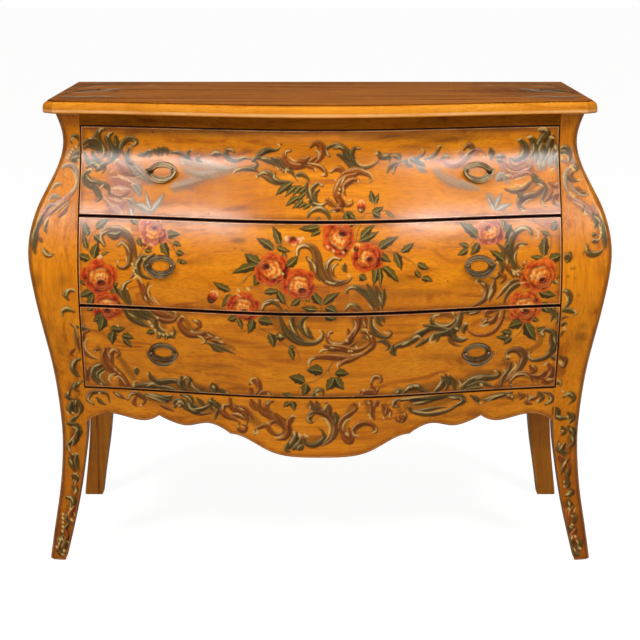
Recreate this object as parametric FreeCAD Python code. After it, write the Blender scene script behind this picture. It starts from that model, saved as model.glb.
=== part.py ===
"""Bombe chest of three drawers: a serpentine, swelling case on cabriole legs, with oval bail pulls.

Frame: +X to the right, -Y to the front, +Z up, in millimetres. The origin is on the floor, under the
centre of the case. Every front piece is cut from one swelling front surface, and every side piece from
one side surface, so the curves run on from piece to piece.
"""

import math
import os

import FreeCAD
import Part

V = FreeCAD.Vector

# ---------------------------------------------------------------- overall
total_height = 880.0
total_width = 1080.0     # over the belly of the sides
case_depth = 421.0       # from the neck of the front, at the edge of the drawer opening, to the back
top_thickness = 23.0
case_top = total_height - top_thickness

# The swelling curves are drawn for a case of this height and width, and stretched to the sizes above.
drawn_case_top = 857.0
drawn_width = 1080.0

# ---------------------------------------------------------------- the swelling front
bow_depth = 85.0         # how far the middle of the front stands before its ends
# (height, how far the front stands before its neck plane)
front_swell = [(0, 38), (55, 22), (110, 10), (170, 6), (230, 11), (290, 23), (345, 38), (400, 55),
               (490, 80), (570, 88), (640, 73), (700, 47), (760, 14), (804, 0), (834, 3), (857, 10)]
# (height, half width of the case at its front corners)
side_swell = [(0, 518), (65, 509), (126, 499.5), (190, 493), (241, 490.5), (292, 492), (342, 495.5),
              (390, 501), (470, 516), (548, 530.5), (598, 536.5), (635, 534), (692, 517), (748, 488.5),
              (804, 474), (834, 479), (857, 487)]
side_bow = 8.0           # how far the middle of a side stands out from its two ends
corner_cant = 6.0        # flat cut along each front corner
stile_width = 31.0       # face of a front post beside the drawers, at the neck
surface_margin = 20.0    # how far the master surfaces run on past the floor and the top
side_front_reach = 132.0  # the side surface starts this far before the neck

# ---------------------------------------------------------------- top board
top_overhang_front = 27.0
top_overhang_side = 22.0
top_overhang_back = 14.0
top_cant = 20.0
edge_round_in = 7.0      # the moulded edge: a flattened round below a flat ledge and a small step
edge_round_high = 12.0
edge_ledge = 2.0
edge_step = 2.6
edge_lower_round = 3.0
edge_sections = 4

# ---------------------------------------------------------------- drawers, from the top down
drawer_names = ["upper", "middle", "lower"]
frieze_height = 23.0
drawer_heights = [160.0, 162.5, 166.5]   # from joint to joint
front_gap = 2.5          # gap between two drawer fronts
side_gap = 1.2           # gap between a drawer front and a post
front_thickness = 24.0   # measured along Y
rail_thickness = 18.0
rail_depth = 55.0
rail_clearance = 0.5     # the drawer front stops this far before its rail
tenon_length = 10.0
drawer_inset = 18.0      # from a post's face to the side of a drawer
drawer_side_thickness = 12.0
drawer_bottom_thickness = 6.0
drawer_back_thickness = 12.0
bottom_groove = 5.0
bottom_rise = 8.0        # the drawer bottom stands this far above the lower edge of the sides
run_clearance = 0.3
drawer_headroom = 5.0
drawer_back_gap = 10.0   # between the drawer's back and the rear posts

# ---------------------------------------------------------------- posts and legs
post_depth = 54.0
apron_end_height = 73.0  # height of the apron where it meets a post; the leg starts below it
drawn_leg_height = 272.0
# (height, thickness of the leg from front to back)
leg_depths = [(0, 40), (55, 42), (110, 45), (170, 48), (230, 51)]
# (height, width of the leg in from the side surface)
leg_widths = [(0, 29), (65, 35), (126, 37.5), (190, 41), (241, 45.5)]
rear_post_thickness = 38.0
runner_landing = 28.0    # how far a rear post stands in past the drawer opening
rear_leg_depths = [(0, 29), (120, 35)]
rear_leg_curve_top = 240.0   # from here up the rear post has its full thickness
rear_leg_width = 51.0
# (height, how far the outer face of a rear leg stands in from the side surface)
rear_leg_set_in = [(0, 13), (42, 12), (78, 11), (113, 9), (148, 7), (190, 5), (241, 3.5)]
rear_leg_shoulder = 13.0
foot_round = 4.0

# ---------------------------------------------------------------- panels and rails
side_panel_thickness = 20.0
# (share of the way from front to back, height above the top of the leg): lower edge of a side panel
side_edge = [(0.0, 4), (0.14, 20), (0.3, 9), (0.5, -10), (0.7, 9), (0.86, 20), (1.0, 4)]
back_panel_thickness = 8.0
back_panel_inset = 4.0
back_panel_rebate = 12.0
rear_rail_top_height = 40.0
rear_rail_bottom_height = 46.0
rear_rail_bottom_show = 10.0   # the part of it left below the back panel
runner_width = 43.0
guide_height = 24.0
guide_clearance = 1.0
dust_panel_thickness = 6.0
dust_panel_tongue = 5.0
block_size = 34.0
screw_radius = 2.0
screw_head_radius = 4.0
screw_head_height = 2.5
screw_bite = 13.0        # how far a screw reaches into the top board

# ---------------------------------------------------------------- apron, right half, from the post inwards
# (distance from the middle, drop below the lower drawer), drawn for this half opening
drawn_half_opening = 443.0
apron_arch = [(443, 73), (427, 61), (396, 52), (343, 62), (302, 50)]
apron_lobe = [(302, 50), (278, 61), (248, 67), (208, 59), (185, 66), (167, 78)]
apron_drop = [(167, 78), (149, 81), (121, 95), (86, 113), (48, 120), (0, 121)]

# ---------------------------------------------------------------- oval bail pulls
pull_x = 287.0
pull_below_middle = 1.5  # a pull sits this far below the middle of its drawer
plate_half_width = 27.5
plate_half_height = 19.5
plate_hole_half_width = 18.0
plate_hole_half_height = 10.0
plate_thickness = 1.6
rim_width = 2.2
rim_height = 1.2
plate_seat_gap = 0.05
post_x = 22.0
ball_radius = 3.8
ball_gap = 0.35          # between a ball and the bail's arm
stem_radius = 2.4
shank_radius = 2.0
shank_clearance = 0.15
pivot_out = 8.5          # the bail's pivot stands this far before the plate's back
pin_radius = 1.2
pin_clearance = 0.06
pin_end_gap = 0.3
nut_across = 7.0
nut_height = 3.2
nut_gap = 0.1
shank_end = 3.0
bail_tip_x = 30.5
bail_drop = 23.0
bail_inner_x = 26.2
bail_inner_drop = 17.0
bail_thickness = 3.6
bail_tip_rise = 2.5
bail_rest_gap = 0.3      # between a resting bail and the plate's rim
bail_lift = 100.0        # how far a bail lifts, counted from parallel with its plate


# ---------------------------------------------------------------- derived
swell_max = max(out for _, out in front_swell)
half_depth = 0.5 * (bow_depth + swell_max + case_depth + top_overhang_back)
neck_y = bow_depth + swell_max - half_depth
back_y = half_depth - top_overhang_back
side_front_y = neck_y - side_front_reach
far_front = -2.0 * half_depth    # a plane well before the chest, where outlines are drawn
reach_far = 4.0 * half_depth     # long enough to pass right through

drawer_lines = [case_top - frieze_height]
for height in drawer_heights:
    drawer_lines.append(drawer_lines[-1] - height)
leg_top = drawer_lines[-1] - apron_end_height


def stretched(table, first, second):
    """A two-column table with each column multiplied by its own factor."""
    return [(u * first, v * second) for u, v in table]


front_swell = stretched(front_swell, case_top / drawn_case_top, 1.0)
side_swell = stretched(side_swell, case_top / drawn_case_top, total_width / drawn_width)
bow_half_width = min(half for _, half in side_swell) - stile_width
top_half_width = side_swell[-1][1] + top_overhang_side
drawer_half_width = bow_half_width - drawer_inset
rear_post_inner = bow_half_width - runner_landing
rear_leg_top = leg_top + rear_leg_shoulder
leg_stretch = leg_top / drawn_leg_height
leg_depths, leg_widths, rear_leg_depths, rear_leg_set_in = [
    stretched(t, leg_stretch, 1.0) for t in (leg_depths, leg_widths, rear_leg_depths, rear_leg_set_in)]
rear_leg_curve_top *= leg_stretch
apron_stretch = bow_half_width / drawn_half_opening
apron_arch, apron_lobe, apron_drop = [
    stretched(t, apron_stretch, 1.0) for t in (apron_arch, apron_lobe, apron_drop)]
pull_heights = [0.5 * (high + low) - pull_below_middle for high, low in zip(drawer_lines, drawer_lines[1:])]


def value_at(table, height):
    """Straight-line value of a (height, value) table."""
    for (z0, v0), (z1, v1) in zip(table, table[1:]):
        if height <= z1:
            return v0 + (v1 - v0) * (height - z0) / (z1 - z0)
    return table[-1][1]


def extended(table):
    """The table with one more point past each end, on the line of its last two."""
    (z0, v0), (z1, v1) = table[0], table[1]
    (z2, v2), (z3, v3) = table[-2], table[-1]
    low = (z0 - surface_margin, v0 - (v1 - v0) * surface_margin / (z1 - z0))
    high = (z3 + surface_margin, v3 + (v3 - v2) * surface_margin / (z3 - z2))
    return [low] + table + [high]


def bow(x):
    """How far the front is to stand forward at x, from its depth at the edge of the opening."""
    u = abs(x) / bow_half_width
    if u > 1.0:
        return -0.8 * bow_depth * (u - 1.0)
    return bow_depth * (0.3 * (1.0 + math.cos(math.pi * u)) + 0.4 * (1.0 - u * u))


def spline(points):
    curve = Part.BSplineCurve()
    curve.interpolate([V(*p) for p in points])
    return curve


def translation_face(across, along):
    """The face made by carrying one curve along another without turning it."""
    poles = [[a + b for b in along.getPoles()] for a in across.getPoles()]
    surface = Part.BSplineSurface()
    surface.buildFromPolesMultsKnots(
        poles, across.getMultiplicities(), along.getMultiplicities(),
        across.getKnots(), along.getKnots(), False, False, across.Degree, along.Degree)
    return surface.toShape()


def box(x0, x1, y0, y1, z0, z1):
    return Part.makeBox(x1 - x0, y1 - y0, z1 - z0, V(x0, y0, z0))


def mirrored(shape):
    return shape.mirror(V(0, 0, 0), V(1, 0, 0))


def both_sides(shape):
    return Part.makeCompound([shape, mirrored(shape)])


def only(shape):
    """The single solid of a boolean result."""
    return max(shape.Solids, key=lambda s: s.Volume)


def profile_edge(points):
    return spline(points).toShape()


def line(a, b):
    return Part.makeLine(V(*a), V(*b))


def outline_solid(edges, way):
    return Part.Face(Part.Wire(Part.__sortEdges__(edges))).extrude(way)


# ---------------------------------------------------------------- master surfaces
bow_samples = 25
bow_reach = bow_half_width + 115.0
plan_curve = spline([(x, -bow(x), 0) for x in
                     [bow_reach * (2.0 * i / (bow_samples - 1) - 1.0) for i in range(bow_samples)]])
swell_curve = spline([(0, neck_y - out, z) for z, out in extended(front_swell)])
front_face = translation_face(plan_curve, swell_curve)

front_corner_y = neck_y - 45.0   # middle of the corner's travel, where the side surface has its stated width
side_mid_y = 0.5 * (side_front_y + back_y)
side_half_y = 0.5 * (back_y - side_front_y) + surface_margin
side_samples = 7


def side_out(y):
    return side_bow * (1.0 - ((y - side_mid_y) / side_half_y) ** 2)


side_plan = spline([(side_out(y), y, 0) for y in
                    [side_mid_y + side_half_y * (2.0 * i / (side_samples - 1) - 1.0)
                     for i in range(side_samples)]])
side_curve = spline([(half - side_out(front_corner_y), 0, z) for z, half in extended(side_swell)])
side_face = translation_face(side_plan, side_curve)


def swell_y(z):
    """Y of the front at the edge of the opening, read from the swell curve itself."""
    cut = swell_curve.intersect(Part.Plane(V(0, 0, z), V(0, 0, 1)))
    return cut[0][0].Y


def half_width(z):
    """Half width of the case at its front corner, read from the side curve itself."""
    cut = side_curve.intersect(Part.Plane(V(0, 0, z), V(0, 0, 1)))
    return cut[0][0].X + side_out(front_corner_y)


def front_y(x, z):
    """Y of the front surface, where the bow and the swell add up."""
    cut = plan_curve.intersect(Part.Plane(V(x, 0, 0), V(1, 0, 0)))
    return swell_y(z) + cut[0][0].Y


def front_shell(start, thickness):
    """A slab that follows the front, from start behind its surface, this thick along Y."""
    return front_face.translated(V(0, start, 0)).extrude(V(0, thickness, 0))


def behind_front(start):
    return front_shell(start, reach_far)


behind_all = behind_front(0.0)
within_side = side_face.extrude(V(-reach_far, 0, 0))

# ---------------------------------------------------------------- corner cant
cant_heights = [z for z, _ in extended(side_swell)]
cant_reach = max(half for _, half in side_swell) - bow_half_width + post_depth


def cant_line(shift_x, shift_y):
    points = []
    for z in cant_heights:
        x = value_at(extended(side_swell), z)
        y = neck_y - value_at(extended(front_swell), z) - bow(x)
        points.append((x + shift_x, y + shift_y, z))
    return profile_edge(points)


cant_face = Part.makeRuledSurface(
    cant_line(-corner_cant - cant_reach, -cant_reach), cant_line(cant_reach, corner_cant + cant_reach))
within_cant = cant_face.extrude(V(-reach_far, reach_far, 0))

# ---------------------------------------------------------------- rails between the drawers
rail_lines = drawer_lines[1:]
rail_backs = [swell_y(z) + front_thickness + rail_clearance + rail_depth for z in rail_lines]
rear_front_y = back_y - rear_post_thickness


def divider_rail(z, rail_back):
    reach = bow_half_width + tenon_length
    room = box(-reach, reach, far_front, rail_back, z - rail_thickness / 2, z + rail_thickness / 2)
    return only(room.common(behind_front(front_thickness + rail_clearance)))


def dust_panel(z, rail_back):
    inner = bow_half_width - runner_width
    return box(-inner - dust_panel_tongue, inner + dust_panel_tongue, rail_back - dust_panel_tongue,
               rear_front_y, z - dust_panel_thickness / 2, z + dust_panel_thickness / 2)


def runner(z, rail_back):
    return box(bow_half_width - runner_width, bow_half_width, rail_back, rear_front_y,
               z - rail_thickness / 2, z + rail_thickness / 2)


def guide(z, rail_back):
    low = z + rail_thickness / 2
    return box(drawer_half_width + guide_clearance, bow_half_width, rail_back, rear_front_y,
               low, low + guide_height)


dividers = [divider_rail(z, y) for z, y in zip(rail_lines, rail_backs)]
dust_panels = [dust_panel(z, y) for z, y in zip(rail_lines, rail_backs)]

# ---------------------------------------------------------------- front posts with their cabriole legs


def leg_depth(z):
    return value_at(leg_depths + [(leg_top, post_depth)], z)


def post_back_edge():
    """The curve behind a front post, seen from the side."""
    points = [(0, neck_y - out + leg_depth(z), z) for z, out in extended(front_swell)]
    return points


post_back = post_back_edge()
post_back_curve = profile_edge(post_back)
post_side_outline = [
    post_back_curve,
    line(post_back[-1], (0, far_front, post_back[-1][2])),
    line((0, far_front, post_back[-1][2]), (0, far_front, post_back[0][2])),
    line((0, far_front, post_back[0][2]), post_back[0]),
]
ahead_of_post_back = outline_solid(post_side_outline, V(reach_far, 0, 0))

leg_curve_points = [(half_width(z) - width, far_front, z) for z, width in leg_widths]
leg_curve_points.append((bow_half_width, far_front, leg_top))
outer_x = total_width
front_outline = [
    profile_edge(leg_curve_points),
    line(leg_curve_points[-1], (bow_half_width, far_front, case_top)),
    line((bow_half_width, far_front, case_top), (outer_x, far_front, case_top)),
    line((outer_x, far_front, case_top), (outer_x, far_front, 0)),
    line((outer_x, far_front, 0), leg_curve_points[0]),
]
outside_leg_inner = outline_solid(front_outline, V(0, reach_far, 0))


def front_post():
    post = outside_leg_inner.common(ahead_of_post_back)
    for limit in (behind_all, within_side, within_cant):
        post = only(post.common(limit))
    for rail in dividers:
        post = only(post.cut(rail))
    foot = [e for e in post.Edges if e.BoundBox.ZMax < 0.01]
    return post.makeFillet(foot_round, foot)


# ---------------------------------------------------------------- rear posts
def rear_post():
    leg = [(half_width(z) - rear_leg_width, far_front, z) for z, _ in rear_leg_set_in]
    leg.append((half_width(leg_top) - rear_leg_width, far_front, leg_top))
    outer = [(half_width(z) - set_in, far_front, z) for z, set_in in rear_leg_set_in]
    step_z = rear_leg_top
    edges = [
        profile_edge(leg),
        profile_edge(outer),
        line(leg[-1], (leg[-1][0], far_front, step_z)),
        line((leg[-1][0], far_front, step_z), (rear_post_inner, far_front, step_z)),
        line((rear_post_inner, far_front, step_z), (rear_post_inner, far_front, case_top)),
        line((rear_post_inner, far_front, case_top), (outer_x, far_front, case_top)),
        line((outer_x, far_front, case_top), (outer_x, far_front, outer[-1][2])),
        line((outer_x, far_front, outer[-1][2]), outer[-1]),
        line(outer[0], leg[0]),
    ]
    depth_points = [(0, back_y - d, z) for z, d in rear_leg_depths]
    depth_points.append((0, rear_front_y, rear_leg_curve_top))
    side_edges = [
        profile_edge(depth_points),
        line(depth_points[-1], (0, rear_front_y, case_top)),
        line((0, rear_front_y, case_top), (0, back_y, case_top)),
        line((0, back_y, case_top), (0, back_y, 0)),
        line((0, back_y, 0), depth_points[0]),
    ]
    post = outline_solid(edges, V(0, reach_far, 0)).common(outline_solid(side_edges, V(reach_far, 0, 0)))
    post = only(post.common(within_side))
    foot = [e for e in post.Edges if e.BoundBox.ZMax < 0.01]
    return post.makeFillet(foot_round, foot)


# ---------------------------------------------------------------- side panels
def side_panel():
    shell = side_face.extrude(V(-side_panel_thickness, 0, 0))
    low_start = value_at([(p[2], p[1]) for p in post_back], leg_top + side_edge[0][1])
    span = rear_front_y - low_start
    edge_points = [(0, low_start + share * span, leg_top + rise) for share, rise in side_edge]
    outline = [
        profile_edge(edge_points),
        line(edge_points[-1], (0, rear_front_y, case_top)),
        line((0, rear_front_y, case_top), (0, far_front, case_top)),
        line((0, far_front, case_top), (0, far_front, edge_points[0][2])),
        line((0, far_front, edge_points[0][2]), edge_points[0]),
    ]
    return only(shell.common(outline_solid(outline, V(reach_far, 0, 0))).cut(ahead_of_post_back))


# ---------------------------------------------------------------- front rails
def frieze_rail():
    room = box(-bow_half_width, bow_half_width, far_front, 0, drawer_lines[0], case_top)
    return only(room.common(front_shell(0.0, front_thickness)))


def front_apron():
    joint = drawer_lines[-1]
    top = joint - front_gap / 2
    half = [[(x, far_front, joint - drop) for x, drop in points]
            for points in (apron_arch, apron_lobe, apron_drop)]
    edges = [profile_edge(half[0]), profile_edge(half[1])]
    drop = half[2] + [(-x, y, z) for x, y, z in reversed(half[2][:-1])]
    edges.append(profile_edge(drop))
    edges += [profile_edge([(-x, y, z) for x, y, z in points]) for points in half[:2]]
    right, low = bow_half_width, half[0][0][2]
    edges += [line((right, far_front, low), (right, far_front, top)),
              line((right, far_front, top), (-right, far_front, top)),
              line((-right, far_front, top), (-right, far_front, low))]
    return only(outline_solid(edges, V(0, reach_far, 0)).common(front_shell(0.0, front_thickness)))


def glue_blocks():
    """Blocks in the corners behind the apron, one against each front post."""
    high = drawer_lines[-1] - rail_thickness / 2
    low = high - block_size
    room = box(bow_half_width - block_size, bow_half_width, far_front, swell_y(low) + front_thickness + block_size,
               low, high)
    return both_sides(only(room.common(behind_front(front_thickness))))


# ---------------------------------------------------------------- top board
def top_outline(inset, z):
    """Plan outline of the top board, drawn in from its outer edge."""
    overhang = top_overhang_front - inset
    half = top_half_width - inset
    cant = top_cant - inset * (2.0 - math.sqrt(2.0))
    front_x = half - cant
    front_at = swell_y(case_top) - overhang
    samples = 13
    xs = [front_x * (2.0 * i / (samples - 1) - 1.0) for i in range(samples)]
    front = [(x, front_at - bow(x), z) for x in xs]
    cant_y = front[0][1] + cant
    rear = back_y + top_overhang_back
    return [
        profile_edge(front),
        line(front[-1], (half, cant_y, z)),
        line((half, cant_y, z), (half, rear, z)),
        line((half, rear, z), (-half, rear, z)),
        line((-half, rear, z), (-half, cant_y, z)),
        line((-half, cant_y, z), front[0]),
    ]


def edge_band(levels):
    """The part of the board between several (inset, height) outlines, with a smooth edge through them."""
    wires = [Part.Wire(top_outline(inset, z)) for inset, z in levels]
    return Part.makeLoft(wires, True, False)


def top_board():
    """A board with its edge rounded above and below, and a thin field that leaves a step all round."""
    slab_top = total_height - edge_step
    steps = [math.radians(90.0 * i / edge_sections) for i in range(edge_sections + 1)]
    low = [(edge_lower_round * (1.0 - math.sin(a)), case_top + edge_lower_round * (1.0 - math.cos(a)))
           for a in steps]
    high = [(edge_round_in * (1.0 - math.cos(a)), slab_top - edge_round_high * (1.0 - math.sin(a)))
            for a in steps]
    board = edge_band(low)
    board = board.fuse(edge_band([low[-1], high[0]]))
    board = board.fuse(edge_band(high))
    field = outline_solid(top_outline(edge_round_in + edge_ledge, slab_top), V(0, 0, edge_step))
    return only(board.fuse(field))


# ---------------------------------------------------------------- rear of the case
rear_rail_high = drawer_lines[-1] - rail_thickness / 2
rear_rail_low = rear_rail_high - rear_rail_bottom_height


def rear_rail(low, high):
    panel_front = back_y - back_panel_inset - back_panel_thickness
    return box(-rear_post_inner, rear_post_inner, rear_front_y, panel_front, low, high)


def back_panel():
    reach = rear_post_inner + back_panel_rebate
    behind = back_y - back_panel_inset
    low = rear_rail_low + rear_rail_bottom_show
    return box(-reach, reach, behind - back_panel_thickness, behind, low, case_top)


def kicker():
    low = drawer_lines[0] - rail_thickness / 2
    front = swell_y(low) + front_thickness + post_depth / 2
    return box(bow_half_width - runner_width, bow_half_width, front, rear_front_y, low, case_top)


def top_screw(x, y):
    """A screw through the kicker, up into the top board."""
    low = drawer_lines[0] - rail_thickness / 2
    shaft = Part.makeCylinder(screw_radius, case_top + screw_bite - low, V(x, y, low), V(0, 0, 1))
    head = Part.makeCone(screw_head_radius, screw_radius, screw_head_height, V(x, y, low), V(0, 0, 1))
    return only(shaft.fuse(head))


# ---------------------------------------------------------------- drawers
def drawer_pieces(high, low):
    """Front, sides, back and bottom of the drawer between two joints."""
    edge = bow_half_width - side_gap
    front = box(-edge, edge, far_front, 100, low + front_gap / 2, high - front_gap / 2)
    front = only(front.common(front_shell(0.0, front_thickness)))
    base = low + rail_thickness / 2 + run_clearance
    head = high - rail_thickness / 2 - drawer_headroom
    rear = rear_front_y - drawer_back_gap
    inner = drawer_half_width - drawer_side_thickness
    side = only(box(inner, drawer_half_width, far_front, rear, base, head).common(behind_front(front_thickness)))
    panel_low = base + bottom_rise
    panel_high = panel_low + drawer_bottom_thickness
    reach = inner + bottom_groove
    bottom = only(box(-reach, reach, far_front, rear, panel_low, panel_high)
                  .common(behind_front(front_thickness - bottom_groove)))
    back = box(-inner - bottom_groove, inner + bottom_groove, rear - drawer_back_thickness, rear,
               panel_high, head)
    front = only(front.cut(bottom))
    side = only(side.cut(bottom).cut(back))
    return front, side, back, bottom


# ---------------------------------------------------------------- pulls
def pull_frame(side, z):
    """Where a pull sits: its centre, its level axis, its outward normal and its upward direction."""
    x = side * pull_x
    step = 0.5
    dy_dx = (front_y(x + step, z) - front_y(x - step, z)) / (2 * step)
    dy_dz = (front_y(x, z + step) - front_y(x, z - step)) / (2 * step)
    normal = V(dy_dx, -1.0, dy_dz).normalize()
    axis = V(1.0, dy_dx, 0.0).normalize()
    up = axis.cross(normal * -1.0)
    return V(x, front_y(x, z), z), axis, normal, up


def plate_standoff(frame):
    """How far the plate stands off the tangent plane, so that it clears the curved front all round."""
    centre, axis, normal, up = frame
    worst = 0.0
    for i in range(24):
        angle = 2.0 * math.pi * i / 24
        for half_w, half_h in ((plate_half_width, plate_half_height),
                               (plate_hole_half_width, plate_hole_half_height)):
            p = centre + axis * (half_w * math.cos(angle)) + up * (half_h * math.sin(angle))
            proud = (V(p.x, front_y(p.x, p.z), p.z) - p).dot(normal)
            worst = max(worst, proud)
    return worst + plate_seat_gap


def placed(shape, frame, out):
    """Carries a shape from the pull's own frame (X level, -Y outward, Z up) to its drawer front."""
    centre, axis, normal, up = frame
    origin = centre + normal * out
    m = FreeCAD.Matrix(axis.x, -normal.x, up.x, origin.x,
                       axis.y, -normal.y, up.y, origin.y,
                       axis.z, -normal.z, up.z, origin.z,
                       0, 0, 0, 1)
    return shape.transformed(m)


def oval(half_w, half_h, y):
    ellipse = Part.Ellipse(V(half_w, y, 0), V(0, y, half_h), V(0, y, 0))
    return Part.Face(Part.Wire(ellipse.toShape()))


def oval_ring(outer, inner, y0, y1):
    way = V(0, y1 - y0, 0)
    return oval(*outer, y0).extrude(way).cut(oval(*inner, y0).extrude(way))


def pull_plate():
    outer = (plate_half_width, plate_half_height)
    hole = (plate_hole_half_width, plate_hole_half_height)
    plate = oval_ring(outer, hole, -plate_thickness, 0)
    top = -plate_thickness - rim_height
    outer_rim = oval_ring(outer, (outer[0] - rim_width, outer[1] - rim_width), top, -plate_thickness)
    inner_rim = oval_ring((hole[0] + rim_width, hole[1] + rim_width), hole, top, -plate_thickness)
    plate = plate.fuse(outer_rim).fuse(inner_rim)
    for side in (-1, 1):
        plate = plate.cut(Part.makeCylinder(stem_radius + shank_clearance, 20, V(side * post_x, -10, 0), V(0, 1, 0)))
    return only(plate)


def pull_post(side, through):
    """A ball-headed post: ball, stem and threaded shank that runs through the drawer front."""
    x = side * post_x
    ball = Part.makeSphere(ball_radius, V(x, -pivot_out, 0))
    stem = Part.makeCylinder(stem_radius, pivot_out, V(x, -pivot_out, 0), V(0, 1, 0))
    shank = Part.makeCylinder(shank_radius, through + nut_height + shank_end, V(x, 0, 0), V(0, 1, 0))
    socket = Part.makeCylinder(pin_radius + pin_clearance, ball_radius + 1.0,
                               V(x, -pivot_out, 0), V(side, 0, 0))
    return only(ball.fuse(stem).fuse(shank).cut(socket))


def pull_nut(side, through):
    x = side * post_x
    corners = [V(x + nut_across / math.sqrt(3) * math.cos(math.radians(60 * i)), through,
                 nut_across / math.sqrt(3) * math.sin(math.radians(60 * i))) for i in range(7)]
    nut = Part.Face(Part.makePolygon(corners)).extrude(V(0, nut_height, 0))
    return only(nut.cut(Part.makeCylinder(shank_radius, 60, V(x, 0, 0), V(0, 1, 0))))


def pull_bail():
    """A crescent, widest at its foot, with two short pins that turn in the balls."""
    y0 = -pivot_out - bail_thickness / 2
    outer = [(-bail_tip_x, y0, bail_tip_rise), (-bail_tip_x * 0.83, y0, -bail_drop * 0.42),
             (-bail_tip_x * 0.45, y0, -bail_drop * 0.87), (0, y0, -bail_drop),
             (bail_tip_x * 0.45, y0, -bail_drop * 0.87), (bail_tip_x * 0.83, y0, -bail_drop * 0.42),
             (bail_tip_x, y0, bail_tip_rise)]
    inner = [(-bail_inner_x, y0, bail_tip_rise), (-bail_inner_x * 0.8, y0, -bail_inner_drop * 0.5),
             (-bail_inner_x * 0.42, y0, -bail_inner_drop * 0.9), (0, y0, -bail_inner_drop),
             (bail_inner_x * 0.42, y0, -bail_inner_drop * 0.9), (bail_inner_x * 0.8, y0, -bail_inner_drop * 0.5),
             (bail_inner_x, y0, bail_tip_rise)]
    edges = [profile_edge(outer), profile_edge(inner), line(outer[0], inner[0]), line(inner[-1], outer[-1])]
    bail = outline_solid(edges, V(0, bail_thickness, 0))
    for side in (-1, 1):
        bail = bail.cut(Part.makeSphere(ball_radius + ball_gap, V(side * post_x, -pivot_out, 0)))
    pin_start = post_x + pin_end_gap
    pin_length = bail_inner_x + 1.0 - pin_start
    for side in (-1, 1):
        bail = bail.fuse(Part.makeCylinder(pin_radius, pin_length, V(side * pin_start, -pivot_out, 0), V(side, 0, 0)))
    return only(bail)


def touch_turn():
    """How far a bail turns in from parallel with its plate before it rests on the lower rim."""
    room = pivot_out - plate_thickness - rim_height - bail_thickness / 2 - bail_rest_gap
    return math.degrees(math.asin(room / plate_half_height))


def plumb_turn(frame):
    """The turn from parallel with the plate, outward positive, at which a bail hangs straight down."""
    return -math.degrees(math.atan2(frame[2].z, frame[3].z))


def rest_turn(frame):
    return max(-touch_turn(), plumb_turn(frame))


def build():
    nodes = {}
    nodes["top_board"] = top_board()
    post = front_post()
    nodes["front_post_right"], nodes["front_post_left"] = post, mirrored(post)
    panel = back_panel()
    rear = only(rear_post().cut(panel))
    nodes["rear_post_right"], nodes["rear_post_left"] = rear, mirrored(rear)
    side = side_panel()
    nodes["side_panel_right"], nodes["side_panel_left"] = side, mirrored(side)
    nodes["frieze_rail"] = frieze_rail()
    nodes["front_apron"] = front_apron()
    nodes["glue_blocks"] = glue_blocks()
    nodes["rear_top_rail"] = rear_rail(case_top - rear_rail_top_height, case_top)
    nodes["rear_bottom_rail"] = rear_rail(rear_rail_low, rear_rail_high)
    nodes["back_panel"] = panel
    strip = kicker()
    screw_ys = [strip.BoundBox.YMin + share * strip.BoundBox.YLength for share in (0.12, 0.5, 0.88)]
    screw_x = bow_half_width - runner_width / 2
    screws = [top_screw(s * screw_x, y) for s in (-1, 1) for y in screw_ys]
    strips, board = both_sides(strip).Solids, nodes["top_board"]
    for screw in screws:
        strips = [only(s.cut(screw)) for s in strips]
        board = only(board.cut(screw))
    nodes["top_board"] = board
    nodes["kickers"] = Part.makeCompound(strips)
    nodes["top_screws"] = Part.makeCompound(screws)

    rail_names = ["divider_rail_upper", "divider_rail_lower", "bottom_rail"]
    panel_names = ["dust_panel_upper", "dust_panel_lower", "bottom_panel"]
    for i, z in enumerate(rail_lines):
        nodes[rail_names[i]] = only(dividers[i].cut(dust_panels[i]))
        nodes[panel_names[i]] = dust_panels[i]
        grooved = only(runner(z, rail_backs[i]).cut(dust_panels[i]))
        nodes["runners_" + drawer_names[i]] = both_sides(grooved)
        nodes["guides_" + drawer_names[i]] = both_sides(guide(z, rail_backs[i]))

    plate, bail = pull_plate(), pull_bail()
    for i, name in enumerate(drawer_names):
        front, side, back, bottom = drawer_pieces(drawer_lines[i], drawer_lines[i + 1])
        plates, posts, nuts = [], [], []
        for hand, hand_name in ((-1, "left"), (1, "right")):
            frame = pull_frame(hand, pull_heights[i])
            out = plate_standoff(frame)
            through = front_thickness * abs(frame[2].y) + out + nut_gap
            plates.append(placed(plate, frame, out))
            for s in (-1, 1):
                posts.append(placed(pull_post(s, through), frame, out))
                nuts.append(placed(pull_nut(s, through), frame, out))
                bore = Part.makeCylinder(shank_radius + shank_clearance, 80, V(s * post_x, -20, 0), V(0, 1, 0))
                front = only(front.cut(placed(bore, frame, out)))
            turn = rest_turn(frame)
            hung = bail.copy()
            hung.rotate(V(0, -pivot_out, 0), V(-1, 0, 0), turn)
            nodes["bail_%s_%s" % (name, hand_name)] = placed(hung, frame, out)
            pivot = frame[0] + frame[2] * (out + pivot_out)
            print("pivot %s %s at %.4f %.4f %.4f axis %.6f %.6f 0 range %.2f %.2f out %.2f" % (
                name, hand_name, pivot.x, pivot.y, pivot.z, -frame[1].x, -frame[1].y,
                -touch_turn() - turn, bail_lift - turn, out))
        nodes["drawer_front_" + name] = front
        nodes["drawer_side_right_" + name] = side
        nodes["drawer_side_left_" + name] = mirrored(side)
        nodes["drawer_back_" + name] = back
        nodes["drawer_bottom_" + name] = bottom
        nodes["pull_plates_" + name] = Part.makeCompound(plates)
        nodes["pull_posts_" + name] = Part.makeCompound(posts)
        nodes["pull_nuts_" + name] = Part.makeCompound(nuts)
    return nodes


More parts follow.
